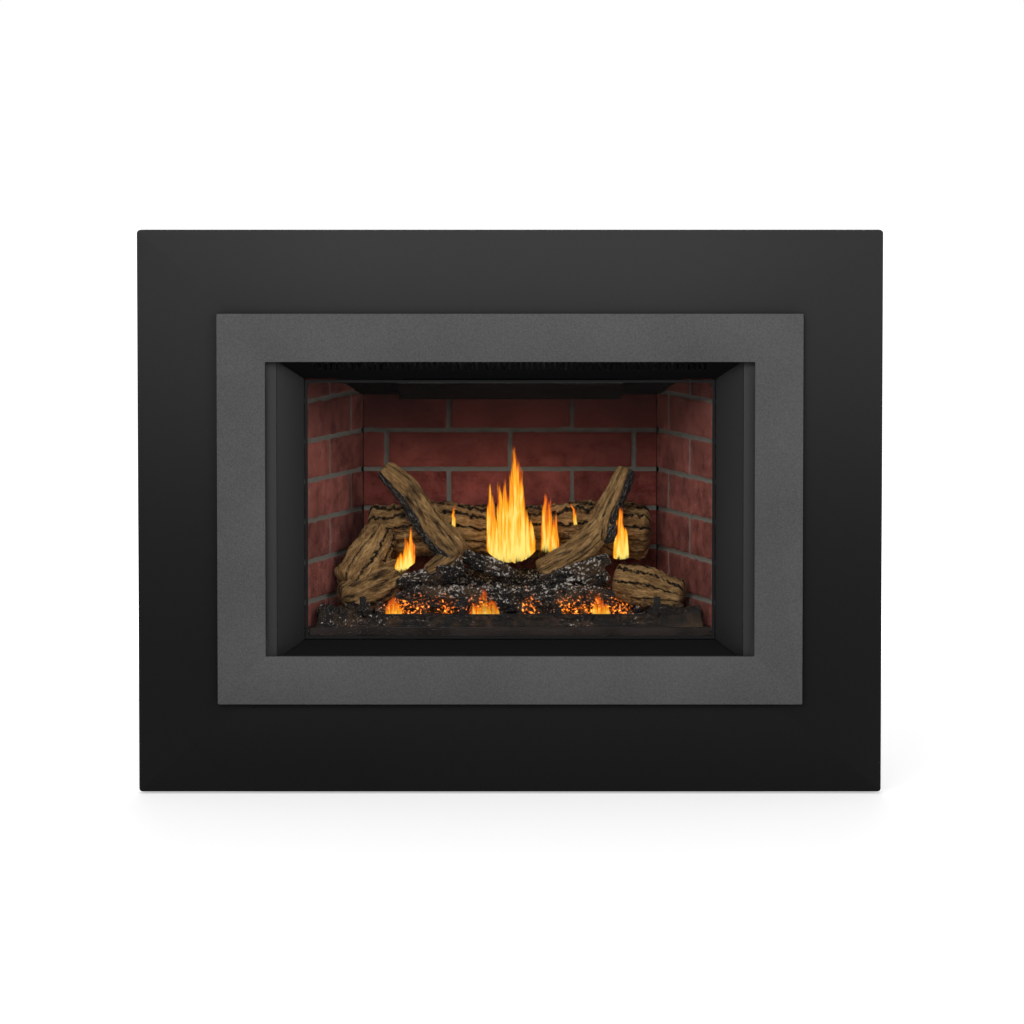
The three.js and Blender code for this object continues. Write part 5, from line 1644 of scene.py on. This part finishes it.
@dataclass
class Fire(Assembly):
    """The burner: its tray, glowing embers, grate, charcoal, pilot and flames."""

    flames: tuple[Flame, ...] = (
        Flame(
            0.160, 0.334,
            (
                (0.013, 0.018, 0.522), (-0.004, 0.010, 0.476), (-0.013, 0.007, 0.472),
                (-0.026, 0.011, 0.456), (0.028, 0.013, 0.418),
            ),
            lean=-0.008, foot=0.020,
        ),
        Flame(
            0.186, 0.348, ((0.053, 0.006, 0.460), (0.060, 0.007, 0.442), (0.069, 0.007, 0.412)),
            foot=0.004, slope=0.004, kind=Blaze.MIDDLE,
        ),
        Flame(0.196, 0.388, ((0.101, 0.003, 0.428),), lean=-0.008, foot=0.001, kind=Blaze.MIDDLE),
        Flame(
            0.150, 0.322, ((-0.151, 0.006, 0.394), (-0.158, 0.009, 0.378), (-0.167, 0.012, 0.356)),
            foot=0.002, slope=0.012,
        ),
        Flame(
            0.172, 0.338, ((0.170, 0.009, 0.432), (0.164, 0.006, 0.400), (0.177, 0.006, 0.392)),
            foot=0.002,
        ),
        Flame(0.190, 0.386, ((-0.087, 0.003, 0.422),), foot=0.001, kind=Blaze.MIDDLE),
        Flame(0.098, 0.258, ((-0.180, 0.010, 0.292), (-0.172, 0.010, 0.284)), foot=0.002, kind=Blaze.LOW),
        Flame(
            0.096, 0.256, ((-0.041, 0.010, 0.308), (-0.052, 0.012, 0.280), (-0.028, 0.013, 0.288)),
            foot=0.002, kind=Blaze.LOW,
        ),
        Flame(0.098, 0.258, ((0.134, 0.010, 0.296), (0.145, 0.009, 0.280)), foot=0.002, kind=Blaze.LOW),
    )
    ember_level: float = 0.2585
    mound: float = 0.054
    mound_front: float = -0.05365
    mound_run: float = 0.074
    mound_half: float = 0.128
    mound_fade: float = 0.042
    coal_level: float = 0.2475
    coal_half: float = 0.294
    coal_front: float = -0.1336
    coal_rear: float = -0.105
    coal_margin: float = 0.0105

    def ember_height(self, x: float, y: float) -> float:
        """The height of the ember bed's top, which rises to a mound at the rear."""
        back = soft_step((y - self.mound_front) / self.mound_run)
        side = soft_step((abs(x) - self.mound_half) / self.mound_fade)
        rough = 0.0035 * fractal((x, y, 0.0), 60.0, 4, 1.0)
        return self.ember_level + self.mound * back * (1 - side) + rough

    def coal_height(self, x: float, y: float) -> float:
        """The height of the charcoal bed's top, which is heaped at both ends."""
        heap = 0.016 * min(1.0, max(0.0, (abs(x) - (self.coal_half - 0.065)) / 0.05))
        share = (y - self.coal_front) / (self.coal_rear - self.coal_front)
        across = math.sin(math.pi * min(1.0, max(0.0, share))) ** 0.4
        return self.coal_level + (0.008 + heap) * across + 0.004 * fractal((x, y, 0.0), 70.0, 4, 5.0)

    def embers(self) -> None:
        """Lays the ember bed and the lumps on it."""
        glowing = Char("char_ember", ash_amount=0.3, glow_strength=2.4).make()
        name = "ember_bed_cast"
        bed = heap_mesh(name, 0.212, -0.0707, 0.0793, 0.2486, self.ember_height, 0.0028)
        give(bed, "hotness", hot_spots(places_of(bed)) * 0.8)
        self.add(name, bed, self.body_of("ember_bed"), "embers", glowing, ["ember_bed"])
        fields = {
            "ember_lumps": (0.200, -0.0900, 0.0140, 48, 8, lambda x, y: 0.262 + 0.9 * (y + 0.09)),
            "ember_heap": (0.178, -0.0560, 0.0600, 48, 8, lambda x, y: self.ember_height(x, y) + 0.004),
        }
        sizes = {"ember_lumps": (0.008, 0.017), "ember_heap": (0.010, 0.024)}
        for seed, (name, field_size) in enumerate(fields.items(), 2):
            base = field_mesh(name + "_field", *field_size)
            shape = lump_shape(name + "_shape", float(seed))
            lumps = scattered(name, base, shape, glowing, 15000.0, *sizes[name], 5 * seed)
            give(lumps, "hotness", hot_spots(places_of(lumps)))
            self.add(name, lumps, "cabinet", "embers")

    def coals(self) -> None:
        """Lays the charcoal bed, strews lumps over it and heaps them at its ends."""
        cold = Char("char_coal", ash_amount=0.09).make()
        name, half, margin = "charcoal_bed_cast", self.coal_half, self.coal_margin
        bed = heap_mesh(name, half, self.coal_front, self.coal_rear, 0.2463, self.coal_height, 0.0024)
        self.add(name, bed, self.body_of("charcoal_bed"), "charcoal", cold, ["charcoal_bed"])
        front, run = self.coal_front + margin, self.coal_rear - self.coal_front - 1.6 * margin
        base = field_mesh(
            "coal_field", half - margin, front, run, 60, 4, lambda x, y: self.coal_height(x, y) + 0.001
        )
        lumps = scattered("coal_lumps", base, lump_shape("coal_shape", 7.0), cold, 21000.0, 0.008, 0.017, 4)
        self.add("coal_lumps", lumps, "cabinet", "charcoal")
        for side, sign in (("left", -1), ("right", 1)):
            low, high = sorted((sign * 0.214, sign * 0.288))
            ends = ((-0.112, 0.262, (low, high)), (-0.080, 0.268, (high, low)))
            corners = [(x, y, z) for y, z, places in ends for x in places]
            base = bpy.data.meshes.new("heap_field_" + side)
            base.from_pydata(corners, [], [(0, 1, 2, 3)])
            name, shape = "heap_lumps_" + side, lump_shape("heap_shape_" + side, 3.0 + sign)
            heap = scattered(name, base, shape, cold, 22000.0, 0.010, 0.022, 21 + sign)
            self.add(name, heap, "cabinet", "charcoal")

    def build(self) -> None:
        """Builds the burner and its fire."""
        steel = HotPaint("paint_burner", shade(38, 36, 35)).make()
        iron = PowderCoat("iron_grate", shade(26, 24, 24), 0.7, 500.0, 0.0005, 0.2).make()
        self.soften("burner_tray", steel, "firebox_steel", 0.0003)
        self.soften("grate", iron, "grate_iron", 0.0012)
        self.embers()
        self.coals()
        pilot = SheetMetal("pilot_metal", shade(150, 146, 138)).make()
        self.soften("pilot_assembly", pilot, "valve_metal", 0.0003)
        skins = {
            kind: FlameSkin("flame_" + kind.name.lower(), thickness=kind.value).make() for kind in Blaze
        }
        for number, flame in enumerate(self.flames, 1):
            name = f"flame_{number:02d}"
            self.add(name, flame.build(name, number), "cabinet", "embers", skins[flame.kind])


def hex_screw() -> Object:
    """A hexagon-head sheet screw with its flange, one metre across the flange."""
    rings = [(0.0, 0.0), (0.5, 0.0), (0.5, 0.05), (0.47, 0.08), (0.36, 0.1)]
    flange = lathe("screw_flange", rings + [(0.0, 0.1)], (0.0, 0.0, 0.0), "Z", 20)
    outline = [(0.0, 0.08), (0.36, 0.08), (0.36, 0.34), (0.31, 0.4), (0.0, 0.4)]
    head = lathe("screw_head", outline, (0.0, 0.0, 0.0), "Z", 6)
    return hidden_shape("screw_shape", joined("screw_shape", [flange, head]))


def pressed_sheet(
    name: str, half: float, low: float, high: float, rear: float, thick: float, ribs: int
) -> Mesh:
    """A rear sheet with shallow ribs pressed inwards.

    Args:
        name: The mesh's name.
        half: Half its width.
        low: The height of its lower edge.
        high: The height of its upper edge.
        rear: The y of its outer face.
        thick: The sheet's thickness.
        ribs: How many upright ribs it has.

    Returns:
        The closed mesh.
    """
    columns, rows = 180, 80
    margin, half_rib, deepest = 0.06, 0.009, 0.0016
    centres = [-half + margin + (2 * half - 2 * margin) * (i + 0.5) / ribs for i in range(ribs)]
    front, back = [], []
    for row in range(rows):
        for column in range(columns):
            x = -half + 2 * half * column / (columns - 1)
            z = low + (high - low) * row / (rows - 1)
            ends = max(0.0, abs(z - (low + high) / 2) - ((high - low) / 2 - margin - half_rib))
            away = min(math.hypot(x - c, ends) for c in centres)
            press = deepest * (0.5 + 0.5 * math.cos(math.pi * min(1.0, away / half_rib)))
            back.append((x, rear - press, z))
            front.append((x, rear - press - thick, z))
    count, front_faces = len(back), grid_faces(rows, columns)
    rim = rim_of(rows, columns)
    faces = front_faces + [tuple(count + i for i in face) for face in front_faces]
    faces += wall_faces(rim, [count + index for index in rim])
    mesh = mesh_of(name, back + front, faces)
    mesh.set_sharp_from_angle(angle=math.radians(50))
    return mesh


@dataclass
class Casing(Assembly):
    """The galvanised outer casing, the flue parts on top of it, and its screws."""

    screw: float = 0.009
    screw_pitch: float = 0.085
    inset: float = 0.008
    end_margin: float = 0.03
    side_screw_heights: tuple[float, ...] = (0.08, 0.22, 0.36, 0.5, 0.64)
    sheet: float = 0.0019
    collar_radius: float = 0.0385
    collar_wall: float = 0.0015
    flange_radius: float = 0.0525
    flange_low: float = 0.6933
    flange_high: float = 0.6948
    flange_screws: float = 0.0455
    beads: tuple[float, ...] = (0.006, 0.022)
    bead_height: float = 0.006
    bead_depth: float = 0.0022

    def collar(self, node: str) -> None:
        """Replaces a vent collar by a turned one with rolled beads."""
        low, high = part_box(node)
        centre = ((low.x + high.x) / 2, (low.y + high.y) / 2, 0.0)
        radius, inner = self.collar_radius, self.collar_radius - self.collar_wall
        outer = [(radius, low.z), (radius, self.flange_low), (self.flange_radius, self.flange_low)]
        outer += [(self.flange_radius, self.flange_high), (radius, self.flange_high)]
        for bead in self.beads:
            for k in range(9):
                sunk = self.bead_depth * math.sin(math.pi * k / 8)
                outer.append((radius - sunk, self.flange_high + bead + self.bead_height * k / 8))
        outer += [(radius - 0.0003, high.z), (inner, high.z), (inner, low.z)]
        name = node + "_turned"
        steel = SheetMetal(name, shade(176, 178, 180), 0.3, 60.0, 0.9, (1.0, 1.0, 12.0)).make()
        tube = lathe(name, outer, centre, "Z", 96)
        self.add(name, tube, self.body_of(node), "collar_steel", steel, [node])

    def screw_places(self) -> list[tuple[Point, Point]]:
        """Where the casing's screws stand and which way they face."""
        low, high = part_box("casing_top")
        rear_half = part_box("casing_back")[1].x
        up, top, places = (0.0, 0.0, 1.0), high.z, []
        span = 2 * (rear_half - self.end_margin)
        count = round(span / self.screw_pitch)
        for i in range(count + 1):
            places.append(((-rear_half + self.end_margin + span * i / count, high.y - self.inset, top), up))
        slope = Vector((rear_half - high.x, high.y - (low.y + 0.0005)))
        out = Vector((slope.y, -slope.x)).normalized()
        side_low, side_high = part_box("casing_right")
        for sign in (-1, 1):
            for i in range(5):
                share = 0.08 + 0.84 * i / 4
                x = high.x + slope.x * share - self.inset
                places.append(((sign * x, low.y + slope.y * share, top), up))
            for height in self.side_screw_heights:
                for share in (0.06, 0.94):
                    x = side_high.x + (side_low.x + 0.0015 - side_high.x) * share
                    y = side_low.y + (side_high.y - side_low.y) * share
                    places.append(((sign * x, y, height), (sign * out.x, out.y, 0.0)))
        for node in ("exhaust_collar", "intake_collar"):
            low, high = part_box(node)
            for k in range(6):
                turn = math.pi * (k + 0.5) / 3
                x = (low.x + high.x) / 2 + self.flange_screws * math.cos(turn)
                y = (low.y + high.y) / 2 + self.flange_screws * math.sin(turn)
                places.append(((x, y, self.flange_high), up))
        return places

    def build(self) -> None:
        """Builds the casing."""
        zinc = SheetMetal("sheet_zinc", shade(158, 161, 164)).make()
        for part in ("base", "left", "right", "top"):
            self.soften("casing_" + part, zinc, "casing_zinc", 0.0004)
        low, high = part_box("casing_back")
        name = "casing_back_pressed"
        sheet = pressed_sheet(name, high.x, low.z, high.z, high.y, self.sheet, 5)
        self.add(name, sheet, self.body_of("casing_back"), "casing_zinc", zinc, ["casing_back"])
        duct = SheetMetal("sheet_duct", shade(140, 138, 136), 0.45).make()
        self.soften("exhaust_duct", duct, "collar_steel", 0.0004)
        sooted = HotPaint("paint_flap", shade(24, 23, 23)).make()
        self.collar("exhaust_collar")
        self.collar("intake_collar")
        for side in ("left", "right"):
            self.soften("relief_flap_" + side, sooted, "spring_steel", 0.0003)
        plated = SheetMetal("screw_plating", shade(190, 188, 180), 0.28, 200.0, 0.95).make()
        screws = set_on("casing_screws", self.screw_places(), hex_screw(), plated, self.screw)
        self.add("casing_screws", screws, "cabinet", "casing_zinc")
        for side in ("left", "right"):
            for place in ("front", "rear"):
                self.soften(f"levelling_foot_{place}_{side}", plated, "foot_zinc", 0.0006)


def fluted_knob(
    name: str, centre: Point, front: float, rear: float, radius: float, stem: float
) -> Mesh:
    """A control knob with flutes round its grip.

    Args:
        name: The mesh's name.
        centre: A point on its axis.
        front: The y of its face.
        rear: The y of its stem's end.
        radius: The grip's radius.
        stem: The stem's radius.

    Returns:
        The mesh.
    """
    steps, flutes, flute = 144, 24, 0.0009
    skirt, plain = front + 0.018, 0.002
    profile = [(0.0, front + 0.001), (0.72, front + 0.001), (0.84, front), (0.94, front + 0.0012)]
    profile += [(0.97, front + 0.003), (1.0, skirt - 0.003), (1.0, skirt - 0.0006)]
    profile += [(0.96, skirt), (0.0, skirt)]

    def cut(turn: float, y: float) -> float:
        """The depth of the flutes, which stop short of the face and the skirt."""
        fluted = front + plain < y < skirt - plain
        return flute * (0.5 + 0.5 * math.cos(flutes * turn)) if fluted else 0.0

    outer = [(share * radius, y) for share, y in profile]
    grip = lathe(name + "_grip", outer, (centre[0], 0.0, centre[2]), "Y", steps, cut)
    outline = [(0.0, skirt - 0.001), (stem, skirt - 0.001), (stem, rear), (0.0, rear)]
    shaft = lathe(name + "_shaft", outline, (centre[0], 0.0, centre[2]), "Y", 32)
    made = joined(name, [grip, shaft])
    made.polygons.foreach_set("use_smooth", [True] * len(made.polygons))
    made.set_sharp_from_angle(angle=math.radians(40))
    return made


@dataclass
class Services(Assembly):
    """The controls, the gas parts and the blower."""

    def build(self) -> None:
        """Builds the controls, gas parts and blower."""
        black = MouldedPlastic("plastic_black", shade(30, 30, 31)).make()
        red = MouldedPlastic("plastic_red", shade(150, 26, 22)).make()
        yellow = MouldedPlastic("plastic_yellow", shade(214, 170, 30)).make()
        panel = PowderCoat("coat_panel", shade(34, 34, 35), 0.5).make()
        brass = SheetMetal("brass_pipe", shade(196, 164, 96), 0.3, 300.0, 0.95, (6.0, 1.0, 1.0)).make()
        cast = SheetMetal("cast_valve", shade(150, 150, 148), 0.5, 400.0, 0.8).make()
        zinc = SheetMetal("sheet_blower", shade(150, 153, 156)).make()
        bright = SheetMetal("sheet_rotor", shade(188, 190, 192), 0.3).make()
        self.soften("control_panel", panel, "door_black", 0.0003)
        for node in ("gas_knob", "fan_knob"):
            low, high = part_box(node)
            name = node + "_moulded"
            centre = ((low.x + high.x) / 2, 0.0, (low.z + high.z) / 2)
            knob = fluted_knob(name, centre, low.y, high.y, (high.x - low.x) / 2, 0.004)
            self.add(name, knob, self.body_of(node), "knob_black", black, [node])
        pieces = (
            ("igniter_button", red, "button_red", 0.0008),
            ("rocker_switch", black, "knob_black", 0.0008),
            ("gas_valve", cast, "valve_metal", 0.0012),
            ("supply_pipe", brass, "pipe_brass", 0.0005),
            ("shutoff_lever", yellow, "lever_yellow", 0.0006),
            ("burner_pipe", cast, "valve_metal", 0.0004),
            ("blower_housing", zinc, "casing_zinc", 0.0004),
            ("blower_rotor", bright, "rotor_aluminium", 0.0002),
        )
        for piece in pieces:
            self.soften(*piece)


def main() -> None:
    """Builds the studio and every sub-assembly in order."""
    logging.basicConfig(level=logging.INFO, format="%(name)s %(message)s")
    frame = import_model()
    Studio().build()
    for kind in (Enclosure, BrickLiner, LogSet, Fire, Casing, Services):
        assembly = kind(frame)
        assembly.build()
        assembly.report()


if __name__ == "__main__":
    main()
